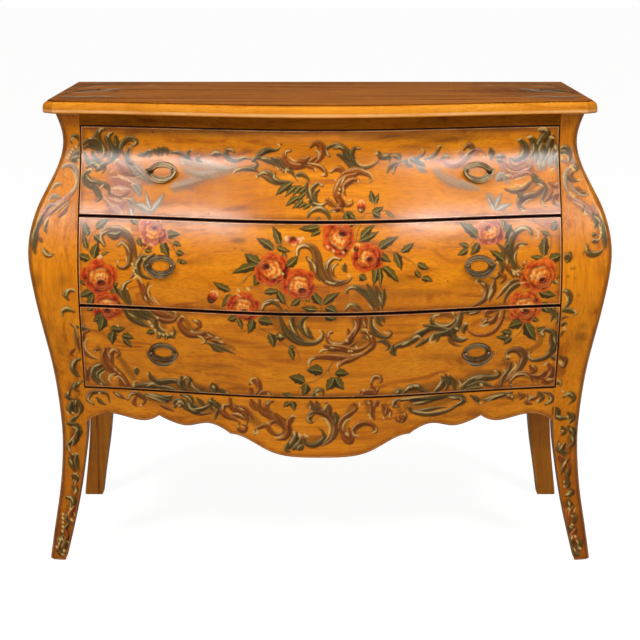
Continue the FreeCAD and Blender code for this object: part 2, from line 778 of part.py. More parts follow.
os.makedirs("parts", exist_ok=True)
for node, shape in build().items():
    shape.exportStep("parts/%s.step" % node)
    b = shape.optimalBoundingBox()
    print("%-26s solids %d valid %s vol %.0f x %.1f..%.1f y %.1f..%.1f z %.1f..%.1f" % (
        node, len(shape.Solids), shape.isValid(), shape.Volume, b.XMin, b.XMax, b.YMin, b.YMax, b.ZMin, b.ZMax))
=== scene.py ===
import math
import bpy
import bmesh
import numpy as np
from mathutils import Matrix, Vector
from mathutils.bvhtree import BVHTree


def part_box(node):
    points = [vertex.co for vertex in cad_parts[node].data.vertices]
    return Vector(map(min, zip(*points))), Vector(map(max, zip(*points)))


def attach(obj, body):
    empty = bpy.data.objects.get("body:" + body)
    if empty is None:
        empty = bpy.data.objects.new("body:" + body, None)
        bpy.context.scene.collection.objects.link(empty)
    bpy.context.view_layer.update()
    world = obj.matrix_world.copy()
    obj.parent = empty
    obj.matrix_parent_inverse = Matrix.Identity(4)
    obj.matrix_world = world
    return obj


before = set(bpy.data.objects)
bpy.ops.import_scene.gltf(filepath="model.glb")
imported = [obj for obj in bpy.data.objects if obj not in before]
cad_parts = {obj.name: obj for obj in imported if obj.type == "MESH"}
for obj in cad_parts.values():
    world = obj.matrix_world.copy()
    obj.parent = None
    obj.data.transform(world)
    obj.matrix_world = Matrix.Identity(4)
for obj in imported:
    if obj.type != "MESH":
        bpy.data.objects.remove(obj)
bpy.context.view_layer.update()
scene = bpy.context.scene
scene.view_settings.view_transform = "Standard"
print("stage: frame loaded")

# ---- the painter's sheet: everything on the front is painted in millimetres, across and up

frontSheet = {"left": -548.0, "bottom": 0.0, "wide": 1096.0, "tall": 848.0, "step": 0.8}

# each tone runs from its shaded side to its lit side, then the fine highlight
tones = {
    "olive": ((0.016, 0.010, 0.001), (0.096, 0.058, 0.009), (0.255, 0.158, 0.034), (0.88, 0.66, 0.32)),
    "umber": ((0.034, 0.010, 0.002), (0.165, 0.058, 0.009), (0.40, 0.17, 0.032), (0.90, 0.66, 0.33)),
    "rust": ((0.060, 0.009, 0.001), (0.27, 0.056, 0.003), (0.56, 0.175, 0.014), (0.92, 0.62, 0.24)),
    "mauve": ((0.16, 0.050, 0.030), (0.44, 0.150, 0.085), (0.62, 0.29, 0.18), (0.88, 0.66, 0.46)),
    "slate": ((0.12, 0.080, 0.046), (0.30, 0.225, 0.150), (0.47, 0.37, 0.27), (0.84, 0.70, 0.52)),
    "leaf": ((0.009, 0.007, 0.001), (0.040, 0.034, 0.004), (0.122, 0.096, 0.014), (0.58, 0.40, 0.08)),
    "cream": ((0.40, 0.19, 0.04), (0.72, 0.45, 0.13), (0.88, 0.64, 0.25), (0.94, 0.76, 0.38)),
    "wash": ((0.040, 0.014, 0.002), (0.075, 0.028, 0.004), (0.13, 0.055, 0.008), (0.15, 0.06, 0.01)),
    "dark": ((0.020, 0.008, 0.002), (0.045, 0.018, 0.004), (0.09, 0.04, 0.008), (0.12, 0.05, 0.01)),
}
roses = {
    "red": ((0.050, 0.003, 0.001), (0.38, 0.024, 0.003), (0.68, 0.115, 0.009), (0.93, 0.52, 0.16)),
    "orange": ((0.062, 0.004, 0.001), (0.44, 0.040, 0.003), (0.74, 0.165, 0.012), (0.94, 0.58, 0.18)),
    "pink": ((0.12, 0.014, 0.006), (0.46, 0.075, 0.028), (0.74, 0.24, 0.09), (0.93, 0.64, 0.34)),
}
cupTones = ((0.58, 0.082, 0.006), (0.80, 0.260, 0.024), (0.94, 0.60, 0.18))


def newSheet(plan):
    rows = int(plan["tall"] / plan["step"]) + 1
    cols = int(plan["wide"] / plan["step"]) + 1
    return {"plan": plan, "colour": np.zeros((rows, cols, 3)), "cover": np.zeros((rows, cols))}


def window(sheet, x0, x1, z0, z1):
    plan = sheet["plan"]
    rows, cols = sheet["cover"].shape
    a = min(max(int((x0 - plan["left"]) / plan["step"]), 0), cols)
    b = min(max(int((x1 - plan["left"]) / plan["step"]) + 2, 0), cols)
    c = min(max(int((z0 - plan["bottom"]) / plan["step"]), 0), rows)
    d = min(max(int((z1 - plan["bottom"]) / plan["step"]) + 2, 0), rows)
    if b <= a or d <= c:
        return None
    x = plan["left"] + plan["step"] * np.arange(a, b)
    z = plan["bottom"] + plan["step"] * np.arange(c, d)
    across, up = np.meshgrid(x, z)
    return (slice(c, d), slice(a, b)), across, up


def lay(sheet, place, colour, alpha):  # wet paint over what is there
    under = sheet["colour"][place]
    held = sheet["cover"][place]
    alpha = np.clip(alpha, 0, 1)
    total = alpha + held * (1 - alpha)
    safe = np.maximum(total, 1e-6)[..., None]
    mixed = (colour * alpha[..., None] + under * (held * (1 - alpha))[..., None]) / safe
    sheet["colour"][place] = mixed
    sheet["cover"][place] = total


def ease(low, high, value):
    t = np.clip((value - low) / (high - low), 0, 1)
    return t * t * (3 - 2 * t)


def ramp(tone, level):  # level -1 shaded, 0 body, +1 lit
    dark, body, lit = (np.array(tone[i]) for i in range(3))
    level = np.clip(level, -1, 1)[..., None]
    return np.where(level < 0, body + (dark - body) * -level, body + (lit - body) * level)


def smoothLine(numbers):  # a curve through every point, with about one place on it for each millimetre
    p = np.array(numbers, float).reshape(-1, 2)
    if len(p) < 2:
        p = np.vstack([p, p + (0.4, 0.8)])
    q = np.vstack([2 * p[0] - p[1], p, 2 * p[-1] - p[-2]])
    runs = []
    for i in range(1, len(q) - 2):
        a, b, c, d = q[i - 1:i + 3]
        count = max(2, int(np.hypot(*(c - b))))
        t = np.linspace(0, 1, count, endpoint=False)[:, None]
        curve = 2 * b + (c - a) * t + (2 * a - 5 * b + 4 * c - d) * t**2 + (3 * b - a - 3 * c + d) * t**3
        runs.append(0.5 * curve)
    runs.append(p[-1:])
    return np.vstack(runs)


def hairs(value, along, seed):  # the streaks that brush hairs leave, smooth in both directions
    total = 0
    for i, pitch in enumerate((2.3, 4.1, 7.7)):
        total = total + np.sin(value * pitch + along * (0.06 + 0.03 * i) + seed * (1.7 + i)) / (1 + i)
    return total / 1.83


lampSide = np.array([-0.50, 0.87])  # painted light comes from the upper left
brush = {
    "shading": 0.95, "bias": 0.12, "hairs": 0.62, "darkRim": 0.75, "shineAt": 0.52, "shineWidth": 0.19,
    "widen": 1.10, "outline": 2.4, "drop": (0.6, -0.7), "stemWidth": 2.3, "arrisHighlightWidth": 2.6,
}


def stroke(sheet, tone, width, numbers, start=0.45, end=0.12, peak=0.4, strength=0.93, shine=0.58):
    line = smoothLine(numbers)
    half = width / 2 + 1.5
    low, high = line.min(0) - half, line.max(0) + half
    got = window(sheet, low[0], high[0], low[1], high[1])
    if got is None:
        return
    place, across, up = got
    travel = np.gradient(line, axis=0)
    travel /= np.maximum(np.hypot(travel[:, 0], travel[:, 1]), 1e-6)[:, None]
    dx = across.ravel()[:, None] - line[None, :, 0]
    dz = up.ravel()[:, None] - line[None, :, 1]
    apart = dx * dx + dz * dz
    t = np.linspace(0, 1, len(line))
    taper = np.clip((t - peak) / (1 - peak), 0, 1) ** 1.4
    swell = np.where(t < peak, start + (1 - start) * ease(0, peak, t), 1 + (end - 1) * taper)
    score = np.sqrt(apart) - 0.5 * width * swell[None, :]
    near = score.argmin(1)
    pick = np.arange(len(near))
    side = travel[near]
    lateral = dx[pick, near] * -side[:, 1] + dz[pick, near] * side[:, 0]
    reach = 0.5 * width * swell[near] + 0.35
    u = np.clip(lateral / reach, -1.2, 1.2)
    facing = -side[:, 1] * lampSide[0] + side[:, 0] * lampSide[1]
    seed = width * 3.1 + numbers[0] * 0.37 + numbers[1] * 0.11
    streak = hairs(u * 2.2, near, seed)
    level = brush["shading"] * u * facing - brush["bias"] + brush["hairs"] * streak
    colour = ramp(tone, level)
    rim = ease(0.62, 1.0, np.abs(u)) * ease(-0.1, 0.8, -u * facing)
    colour = colour + (np.array(tone[0]) - colour) * (brush["darkRim"] * rim)[:, None]
    glow = np.exp(-(((np.abs(u) - brush["shineAt"]) / brush["shineWidth"]) ** 2)) * ease(0.25, 0.75, u * facing * 1.6)
    fade = 0.35 + 0.65 * np.clip(0.5 + 0.5 * np.sin(near * 0.13 + seed), 0, 1)
    colour = colour + (np.array(tone[3]) - colour) * (shine * glow * fade)[:, None]
    alpha = strength * ease(0.55, -0.55, score[pick, near]) * (0.88 + 0.12 * streak)
    lay(sheet, place, colour.reshape(across.shape + (3,)), alpha.reshape(across.shape))


def leaf(sheet, x0, z0, x1, z1, width, tone):
    length = math.hypot(x1 - x0, z1 - z0)
    pad = width * 0.7 + 2
    got = window(sheet, min(x0, x1) - pad, max(x0, x1) + pad, min(z0, z1) - pad, max(z0, z1) + pad)
    if got is None:
        return
    place, across, up = got
    ux, uz = (x1 - x0) / length, (z1 - z0) / length
    s = ((across - x0) * ux + (up - z0) * uz) / length
    v = -(across - x0) * uz + (up - z0) * ux
    bend = 0.10 * width * np.sin(math.pi * np.clip(s, 0, 1)) * (1 if (int(x0) + int(z1)) % 2 else -1)
    v = v - bend
    inside = np.clip(s, 0.001, 0.999)
    outline = 0.5 * width * np.sin(math.pi * inside**0.78) ** 0.80 * (1 - 0.35 * inside**3)
    outline = outline * (1 + 0.10 * np.sin(inside * 19 + x0))  # a few soft teeth
    ends = np.maximum(np.maximum(-s, s - 1) * length, 0)
    outside = np.abs(v) - outline + ends
    alpha = 0.96 * ease(0.7, -0.5, outside)
    litHalf = 1 if (-uz * lampSide[0] + ux * lampSide[1]) > 0 else -1
    u = v / np.maximum(outline, 0.6) * litHalf
    veins = np.sin((s * length - np.abs(v) * 0.9) * 1.25)
    level = np.where(u > 0, 0.60 * np.sin(math.pi * np.clip(u, 0, 1)) + 0.12, -0.45) + 0.20 * veins * (u > 0)
    colour = ramp(tone, level)
    colour = colour + (np.array(tone[0]) - colour) * (0.8 * ease(-1.6, -0.1, outside))[..., None]
    rib = np.exp(-((v / 0.55) ** 2)) * ease(0.98, 0.5, s) * ease(-0.02, 0.1, s)
    colour = colour + (np.array(tone[3]) - colour) * (0.72 * rib)[..., None]
    lay(sheet, place, colour, alpha)


def petal(sheet, x, z, long, short, turn, tone, lift, strength=0.95, rimShine=0.8):
    reach = max(long, short) + 1.5
    got = window(sheet, x - reach, x + reach, z - reach, z + reach)
    if got is None:
        return
    place, across, up = got
    c, s = math.cos(turn), math.sin(turn)
    a = ((across - x) * c + (up - z) * s) / long
    b = (-(across - x) * s + (up - z) * c) / short
    r = np.hypot(a, b)
    edge = (1 - r) * min(long, short)
    level = lift + 0.95 * a + 0.25 * np.sin(b * 5.0 + a * 2.0 + x)
    colour = ramp(tone, level)
    rim = np.exp(-(((r - 0.84) / 0.13) ** 2)) * ease(0.0, 0.6, a)
    colour = colour + (np.array(tone[3]) - colour) * (rimShine * rim)[..., None]
    colour = colour + (np.array(tone[0]) - colour) * (0.7 * ease(0.25, -0.75, a))[..., None]
    lay(sheet, place, colour, strength * ease(-0.5, 0.6, edge))


def disc(sheet, x, z, long, short, colour, strength, soft):
    reach = max(long, short) + soft + 1
    got = window(sheet, x - reach, x + reach, z - reach, z + reach)
    if got is None:
        return
    place, across, up = got
    r = np.hypot((across - x) / long, (up - z) / short)
    edge = (1 - r) * min(long, short)
    even = np.broadcast_to(np.array(colour), across.shape + (3,))
    lay(sheet, place, even, strength * ease(-soft, soft, edge))


def arc(cx, cz, rx, rz, a0, a1, count=7):
    turns = np.radians(np.linspace(a0, a1, count))
    return np.stack([cx + rx * np.cos(turns), cz + rz * np.sin(turns)], 1).ravel()


roseRows = ((8, 0.66, 0.37, -0.62), (7, 0.47, 0.37, -0.38))  # petals, their reach, size and lift, for each row


def rose(sheet, x, z, r, hx, hz, tone, spin):  # hx and hz are the heart of the flower
    away = math.atan2(z - hz, x - hx) if (x, z) != (hx, hz) else math.pi / 2
    seed = x * 0.7 + z * 1.3
    outer = (tone[0], tone[1], tone[2], tone[2])
    disc(sheet, x, z, r * 0.86, r * 0.82, tone[0], 0.93, 2.2)
    for row, (count, out, size, lift) in enumerate(roseRows):
        for i in range(count):  # loose petals, no two alike
            turn = math.radians(spin + 360 / count * (i + 0.5 * row) + 15 * math.sin(seed + i * 2.4))
            reach = r * (out + 0.08 * math.sin(seed * 1.7 + i * 1.9))
            size1 = r * (size + 0.08 * math.sin(seed + i * 3.1))
            size2 = size1 * (1.02 + 0.24 * math.sin(seed * 0.9 + i * 1.3))
            light = lift + 0.34 * (math.cos(turn) * lampSide[0] + math.sin(turn) * lampSide[1])
            petalX, petalZ = x + reach * math.cos(turn), z + reach * math.sin(turn) * 0.96
            petal(sheet, petalX, petalZ, size1, size2, turn, outer, light, rimShine=0.6)
    cx, cz = x * 0.72 + hx * 0.28, z * 0.72 + hz * 0.28
    got = window(sheet, x - r, x + r, z - r, z + r)
    if got is not None:  # the cup, paler on the side away from its heart, with brush lines running out of it
        place, across, up = got
        turned = np.arctan2(up - hz, across - hx)
        around = np.arctan2(up - cz, across - cx)
        uneven = 1 + 0.07 * np.sin(around * 3 + seed) + 0.05 * np.sin(around * 5 + seed * 2)
        ball = np.hypot((across - cx) / (r * 0.62), (up - cz) / (r * 0.58)) * uneven
        facing = np.cos(turned - away)
        far = np.hypot(across - hx, up - hz) / r
        lines = np.sin(turned * 11 + far * 6 + seed) * 0.17 + np.sin(turned * 19 - far * 9 + seed * 2) * 0.14
        folds = np.sin(far * 19 + 1.6 * np.sin(turned * 2 + seed) + 0.9 * np.sin(turned * 5))
        level = -0.08 + 0.52 * facing + 0.30 * ease(0.10, 0.55, far) * facing + lines + 0.42 * folds
        colour = ramp((tone[1], cupTones[0], cupTones[1]), level)
        colour = colour + (np.array(cupTones[2]) - colour) * (0.52 * ease(0.60, 1.30, level))[..., None]
        colour = colour + (np.array(tone[0]) - colour) * (0.62 * ease(0.74, 1.02, ball))[..., None]
        lay(sheet, place, colour, 0.97 * ease(-0.6, 0.6, (1.04 - ball) * r * 0.58))
    behind = math.degrees(away) + 180
    for k, grow in enumerate((0.50, 0.39, 0.30)):  # petals folded round the heart
        ring = arc(hx, hz, r * grow, r * grow * 0.90, behind - 118 + 8 * k, behind + 112 - 10 * k)
        stroke(sheet, tones["dark"], r * 0.05, ring, 0.3, 0.2, 0.5, 0.55, 0.0)
        inner = grow - 0.055
        ring = arc(hx, hz, r * inner, r * inner * 0.90, behind - 100 + 14 * k, behind + 96 - 12 * k)
        stroke(sheet, (tone[1], tone[2], tone[3], tone[3]), r * 0.075, ring, 0.2, 0.15, 0.5, 0.8, 0.5)
    disc(sheet, hx, hz, r * 0.24, r * 0.19, tone[0], 0.90, 1.6)
    stroke(sheet, tone, r * 0.10, arc(hx, hz, r * 0.13, r * 0.10, behind - 60, behind + 130), 0.4, 0.2, 0.5, 0.8, 0.3)
    disc(sheet, hx, hz + r * 0.02, r * 0.11, r * 0.08, (0.026, 0.004, 0.002), 0.80, 1.2)
    ring = arc(hx, hz, r * 0.25, r * 0.21, math.degrees(away) - 95, math.degrees(away) + 85)
    stroke(sheet, tones["cream"], r * 0.070, ring, 0.2, 0.1, 0.45, 0.66, 0.2)
    for k in range(4):  # light flicks over the lit shoulder
        turn = away + math.radians(-50 + 31 * k + 6 * math.sin(seed + k))
        fx, fz = hx + r * 0.32 * math.cos(turn), hz + r * 0.30 * math.sin(turn)
        gx = hx + r * (0.56 + 0.06 * math.sin(seed + 2 * k)) * math.cos(turn + 0.12)
        gz = hz + r * 0.54 * math.sin(turn + 0.12)
        flick = (fx, fz, (fx + gx) / 2 + 0.5, (fz + gz) / 2, gx, gz)
        stroke(sheet, tones["cream"], r * 0.060, flick, 0.5, 0.1, 0.3, 0.50, 0.2)


def bud(sheet, x, z, r, lean, tone):
    turn = math.radians(lean)
    c, s = math.cos(turn), math.sin(turn)
    petal(sheet, x - 0.1 * r * c, z - 0.1 * r * s, r, r * 0.66, turn, tone, 0.0)
    petal(sheet, x + 0.12 * r * s, z - 0.12 * r * c, r * 0.78, r * 0.34, turn + 0.25, tone, 0.35)
    petal(sheet, x - 0.30 * r * s, z + 0.30 * r * c, r * 0.66, r * 0.24, turn - 0.2, tone, 0.6)
    for side in (1, -1):  # the two sepals
        tip = (x - r * 0.5 * c + side * r * 0.5 * s, z - r * 0.5 * s - side * r * 0.5 * c)
        stroke(sheet, tones["leaf"], r * 0.30, (x - r * c, z - r * s, *tip), 0.6, 0.1)


def paintAll(sheet, work):  # from the thin washes up to the last dabs of light
    for kind, width, *numbers in work.get("veils", ()):  # thin broad passes, softened into the wood
        for grow, strength in ((1.35, 0.22), (1.0, 0.42), (0.7, 0.45)):
            stroke(sheet, tones[kind], width * grow, numbers, 0.8, 0.6, 0.5, strength, 0)
    for width, *numbers in work.get("mass", ()):  # thin dark wash under the thick of the foliage
        for grow, strength in ((1.25, 0.20), (0.95, 0.26), (0.65, 0.30)):
            stroke(sheet, tones["wash"], width * grow, numbers, 0.7, 0.5, 0.5, strength, 0)
    # stains, and patches of painted shade in the gaps and under the top's moulding
    for x, z, long, short, strength in work.get("stains", ()):
        disc(sheet, x, z, long, short, tones["wash"][1], strength, min(long, short) * 0.8)
    for name in ("mauve", "slate", "umber", "olive", "rust"):
        for width, *numbers in work.get(name, ()):
            width = width * brush["widen"]
            outline = 0.45 if name in ("mauve", "slate") else 0.80
            under = np.array(numbers) + np.tile(brush["drop"], len(numbers) // 2)
            stroke(sheet, tones["dark"], width + brush["outline"], under, strength=outline, shine=0)
            stroke(sheet, tones[name], width, numbers)
    for numbers in work.get("stems", ()):
        stroke(sheet, tones["umber"], brush["stemWidth"], numbers, 0.8, 0.5, 0.5, 0.85, 0.2)
    # the grey leaves lie in the varnish glare and are painted slate grey over their olive: painted reflection
    for spray in ("leaves", "greyLeaves"):
        for x0, z0, x1, z1, width in work.get(spray, ()):
            leaf(sheet, x0, z0, x1, z1, width, tones["slate" if spray == "greyLeaves" else "leaf"])
    for x, z, r, lean, kind in work.get("buds", ()):
        bud(sheet, x, z, r, lean, roses[kind])
    for x, z, r, hx, hz, kind in work.get("roses", ()):
        rose(sheet, x, z, r, hx, hz, roses[kind], spin=(x * 7 + z) % 45)
    for width, *numbers in work.get("cream", ()):
        stroke(sheet, tones["cream"], width, numbers, 0.55, 0.15, 0.35, 0.92, 0.5)
    # painted highlight: the pale line where light catches the arris of each post
    for numbers in work.get("arris", ()):
        stroke(sheet, tones["cream"], brush["arrisHighlightWidth"], numbers, 0.5, 0.3, 0.5, 0.55, 0.3)
    for x, z, size in work.get("dabs", ()):
        touch = (x - 0.3 * size, z + 0.35 * size, x, z, x + 0.25 * size, z - 0.35 * size)
        stroke(sheet, tones["cream"], size, touch, 0.8, 0.3, 0.4, 0.95, 0.4)


# ---- the ornament: each plan has a corner, in millimetres across and up, and its marks are measured from there.
# A stroke is its width and then the points of its line, and a veil has its tone before them. A leaf is its two
# ends and its width; a rose is its middle, radius, the middle of its heart and its kind; a bud is its middle,
# radius, lean and kind; a stain or a patch of painted shade is its middle, two half sizes and strength; a dab is its
# middle and size.

pairsAt = {"stains": (0,), "buds": (0,), "dabs": (0,), "leaves": (0, 2), "greyLeaves": (0, 2), "roses": (0, 3)}
lineFrom = {"veils": 2, "stems": 0, "arris": 0}  # every other stroke has only its width before the line


def pairs(name, mark):  # where the across numbers of a mark stand, each with its up number after it
    return pairsAt.get(name) or range(lineFrom.get(name, 1), len(mark) - 1, 2)


def placed(left, bottom, plan):
    ready = {name: [list(mark) for mark in marks] for name, marks in plan.items()}
    for name, marks in ready.items():
        for mark in marks:
            for k in pairs(name, mark):
                mark[k] += left
                mark[k + 1] += bottom
    return ready


upperLeft = placed(-440, 670, {
    "mass": [
        (20,6,125,20,125,35,115), (26,38,138,48,122,52,106), (22,62,136,62,118,54,102), (16,15,98,32,94,44,94),
        (16,10,72,22,58,38,54), (12,28,46,34,36,30,30), (14,78,133,90,126,88,108,95,98),
        (9,110,112,128,116,156,120,178,118),
    ],
    "veils": [
        ("mauve",26,58,82,88,80,114,74), ("mauve",26,56,64,80,60,110,62), ("mauve",24,50,42,74,42,96,44),
        ("mauve",20,56,26,76,24,94,30), ("slate",22,80,94,100,88,120,76,130,66), ("slate",16,96,66,108,54,112,42),
        # the slate veils that run from across 176 on lie over the glare: the grey haze of light reflected on the
        # varnish, painted in
        ("slate",16,96,24,115,20,132,16,140,20), ("slate",20,176,57,200,65,229,77,258,85,286,94),
        ("slate",18,190,102,218,99,247,95,269,92), ("slate",14,196,87,222,81,240,81),
    ],
    "mauve": [
        (22,68,96,84,86,106,80,120,72), (20,62,68,80,64,100,60), (22,56,46,74,46,94,50), (18,48,33,68,26,88,31),
        (13,58,21,72,14,82,6),
    ],
    "slate": [(15,88,94,104,82,120,71,128,66), (13,98,58,108,50,110,42), (9,90,35,100,31,105,25)],
    "olive": [
        (12,42,157,31,151,30,138,40,127,49,118), (10,58,150,49,142,52,130,57,114), (8,5,122,14,127,27,121,34,108),
        (8,3,129,12,135,25,129,33,117), (9,13,139,23,137,32,128,37,114), (13,64,143,67,126,63,109,50,95),
        (12,55,131,60,115,54,99), (9,6,112,11,99,25,93,36,98), (11,20,114,27,101,37,95,50,94),
        (8,37,127,43,115,37,101), (10,97,128,104,134,97,140,86,140,76,130,75,118,85,107),
        (8,88,121,84,110,89,99,100,94), (9,10,87,20,93,32,90,41,92,44,85,39,77), (9,28,82,36,88,44,95,53,97),
        (10,20,83,9,78,7,68,15,57,30,51,41,44), (8,10,75,20,65,35,63,46,63), (9,33,60,45,58,52,52,55,42),
        (8,22,58,32,45,38,36,29,28), (7,107,111,118,113,127,119,136,118), (6,129,116,127,107),
        (8,136,122,143,117,144,111), (8,144,125,150,119,151,111), (8,153,126,160,120,161,112),
        (6,167,117,181,118,192,113,202,105), (6,204,123,199,118,200,111,207,105), (5,221,114,217,108,227,103),
    ],
    # leaves painted grey where light reflects on the varnish: painted reflection
    "greyLeaves": [(132,20,122,51,8), (134,16,158,48,12), (130,16,102,28,12), (95,20,104,1,10)],
    "cream": [
        (4,33,152,38,158,43,156), (3,50,142,52,149,58,150), (3,13,139,20,139), (2.6,39,127,42,116,39,108),
        (2.6,97,128,102,134,96,139), (3.6,62,96,68,102,74,99), (4,11,82,18,84,22,79), (3,34,87,29,92,24,90),
        (2.4,10,74,18,65,32,62), (3.4,37,52,44,59), (2.2,41,44,48,33,60,23,75,17), (3,69,76,78,70,85,66),
        (3,58,52,72,52,85,47), (2,56,46,72,41,84,43), (2.2,86,72,100,71,115,75), (2.4,94,59,104,62),
        (2.6,78,36,90,35,99,32), (2.4,78,14,81,5), (3,54,79,63,84), (2.2,87,126,95,125), (2.4,204,122,209,125),
        (2,171,119,182,120), (2.2,218,111,223,116),
    ],
    "dabs": [(128,121,3.4), (67,34,3), (72,34,3), (190,98,3.4)],
})
upperMiddle = placed(-200, 670, {
    "olive": [
        (9,3,117,14,119,24,116), (9,44,122,35,127,29,119,36,110,50,108,65,112,79,109),
        (7,79,109,86,102,80,95,60,92,49,88,44,84), (9,78,107,87,115,97,123,110,126,123,127,128,133),
        (9,94,119,106,127,120,126), (9,87,112,100,110,115,105,124,97,132,90), (9,113,112,126,108,134,98,144,90),
        (7,134,89,142,93,150,87,154,79), (8,86,79,96,87,108,86,120,77,136,72), (6,94,82,108,75,120,69,132,67),
        (7,119,87,117,78,127,72,142,72,153,71), (5,67,94,82,91,92,85), (7,159,76,157,82,166,85,176,80,182,71),
        (9,204,66,196,69,186,61,181,48,188,36,200,32,212,38,215,46), (7,198,59,191,52,192,42,199,37),
        (7,177,71,175,60,178,47), (6,178,46,188,38,197,32),
        (9,178,14,183,22,192,27,202,27,211,21,216,12,212,6,204,8),
        (9,217,117,210,125,216,133,228,136,240,132,252,120,262,105,275,96,292,98,304,106,309,114),
        (11,232,119,243,115,250,108,260,100), (10,242,125,250,115,258,105), (7,225,130,233,133,241,127),
        (8,271,129,262,130,257,120,262,108,270,98), (6,244,107,252,101,260,95,273,91),
        (8,301,119,305,122,309,115,318,112,330,114), (7,316,119,324,114,326,105), (7,329,119,338,114,346,106),
        (5,336,119,343,116,347,109), (6,321,87,326,96,334,102,346,104), (5,331,85,334,94,341,100),
        (5,346,105,360,108,375,111,386,116,390,123,383,127), (8,355,107,360,100,368,95),
        (9,365,107,378,104,391,102), (7,372,111,380,102,392,95), (6,390,109,403,112,412,120,419,130,414,133),
    ],
    "slate": [(9,376,95,386,90,394,86)],
    "rust": [
        (11,146,126,137,123,136,112,145,102,160,99,175,103,188,111,197,119,192,126),
        (12,183,133,192,140,202,134,204,121,198,110,187,102), (10,160,108,172,109,182,116),
        (7,186,102,200,98,209,90,211,83,203,82), (5,172,100,186,96,192,88), (9,219,89,232,95,240,90,238,78,231,69),
        (12,236,80,246,87,260,90,275,89,288,83,293,75,287,70),
        (14,264,84,245,78,234,65,230,52,236,40,248,33,258,36,257,42), (9,268,75,260,76,248,70,242,60,246,47),
        (13,229,46,236,36,232,29,220,22), (8,219,24,235,27,243,20), (9,211,42,220,36,228,30),
    ],
    "leaves": [
        (150,71,120,48,14), (158,66,137,46,10), (167,66,150,47,10), (175,64,159,52,9), (162,47,138,30,11),
        (170,43,150,27,10), (175,37,160,27,9), (183,35,170,25,9), (173,53,160,41,9), (297,35,291,58,12),
        (299,34,306,52,9), (293,20,314,29,12), (295,19,309,10,13), (244,20,265,7,13), (244,18,250,5,13),
        (318,21,335,10,6), (194,13,203,6,7),
    ],
    "stems": [(274,7,282,18,295,20,298,33), (295,20,312,23,325,20,334,10)],
    "buds": [(274,32,12,92,"red")],
    "cream": [
        (2.6,3,116,10,120,22,119), (3,32,126,40,126,44,120), (3,122,138,127,134,126,129), (3,95,112,103,111),
        (2.4,120,98,125,93,130,95), (3,138,87,140,92,146,91), (3,90,83,98,87,106,85), (2.6,118,85,118,78,126,73),
        (3,43,84,48,90,58,93), (2.4,50,109,64,113,76,110), (3.4,147,126,139,124,137,116),
        (2.6,144,115,153,108,164,108), (3,191,127,198,122,195,113), (2.6,178,104,192,102,204,98,210,88),
        (2.6,190,95,193,88), (3.6,204,83,209,87), (3,218,89,225,93), (3,275,92,289,86,295,76,287,70),
        (2.6,245,81,240,72,236,64), (2.6,268,75,270,69), (2.6,242,62,242,54), (3,251,41,258,42),
        (2.6,220,23,230,21), (3,157,80,162,75), (2.4,180,64,183,52,185,44), (3.4,200,69,205,65),
        (2.4,188,37,202,34,213,39), (2.6,180,19,188,26,200,29,212,23), (3,211,127,215,118,220,118),
        (2.6,228,130,236,133,244,128), (2.6,264,110,272,101,286,100,300,108), (3.6,300,118,305,122),
        (3,314,117,324,116), (2.6,328,116,339,116,345,110), (3,331,86,334,95), (3,383,127,390,122),
        (2.6,360,108,363,100), (3,381,108,392,101), (2.4,266,130,274,130),
    ],
    "dabs": [(86,79,4), (228,75,3), (235,59,3.4), (234,53,3), (244,46,2.6), (179,42,3), (272,24,3.6)],
})
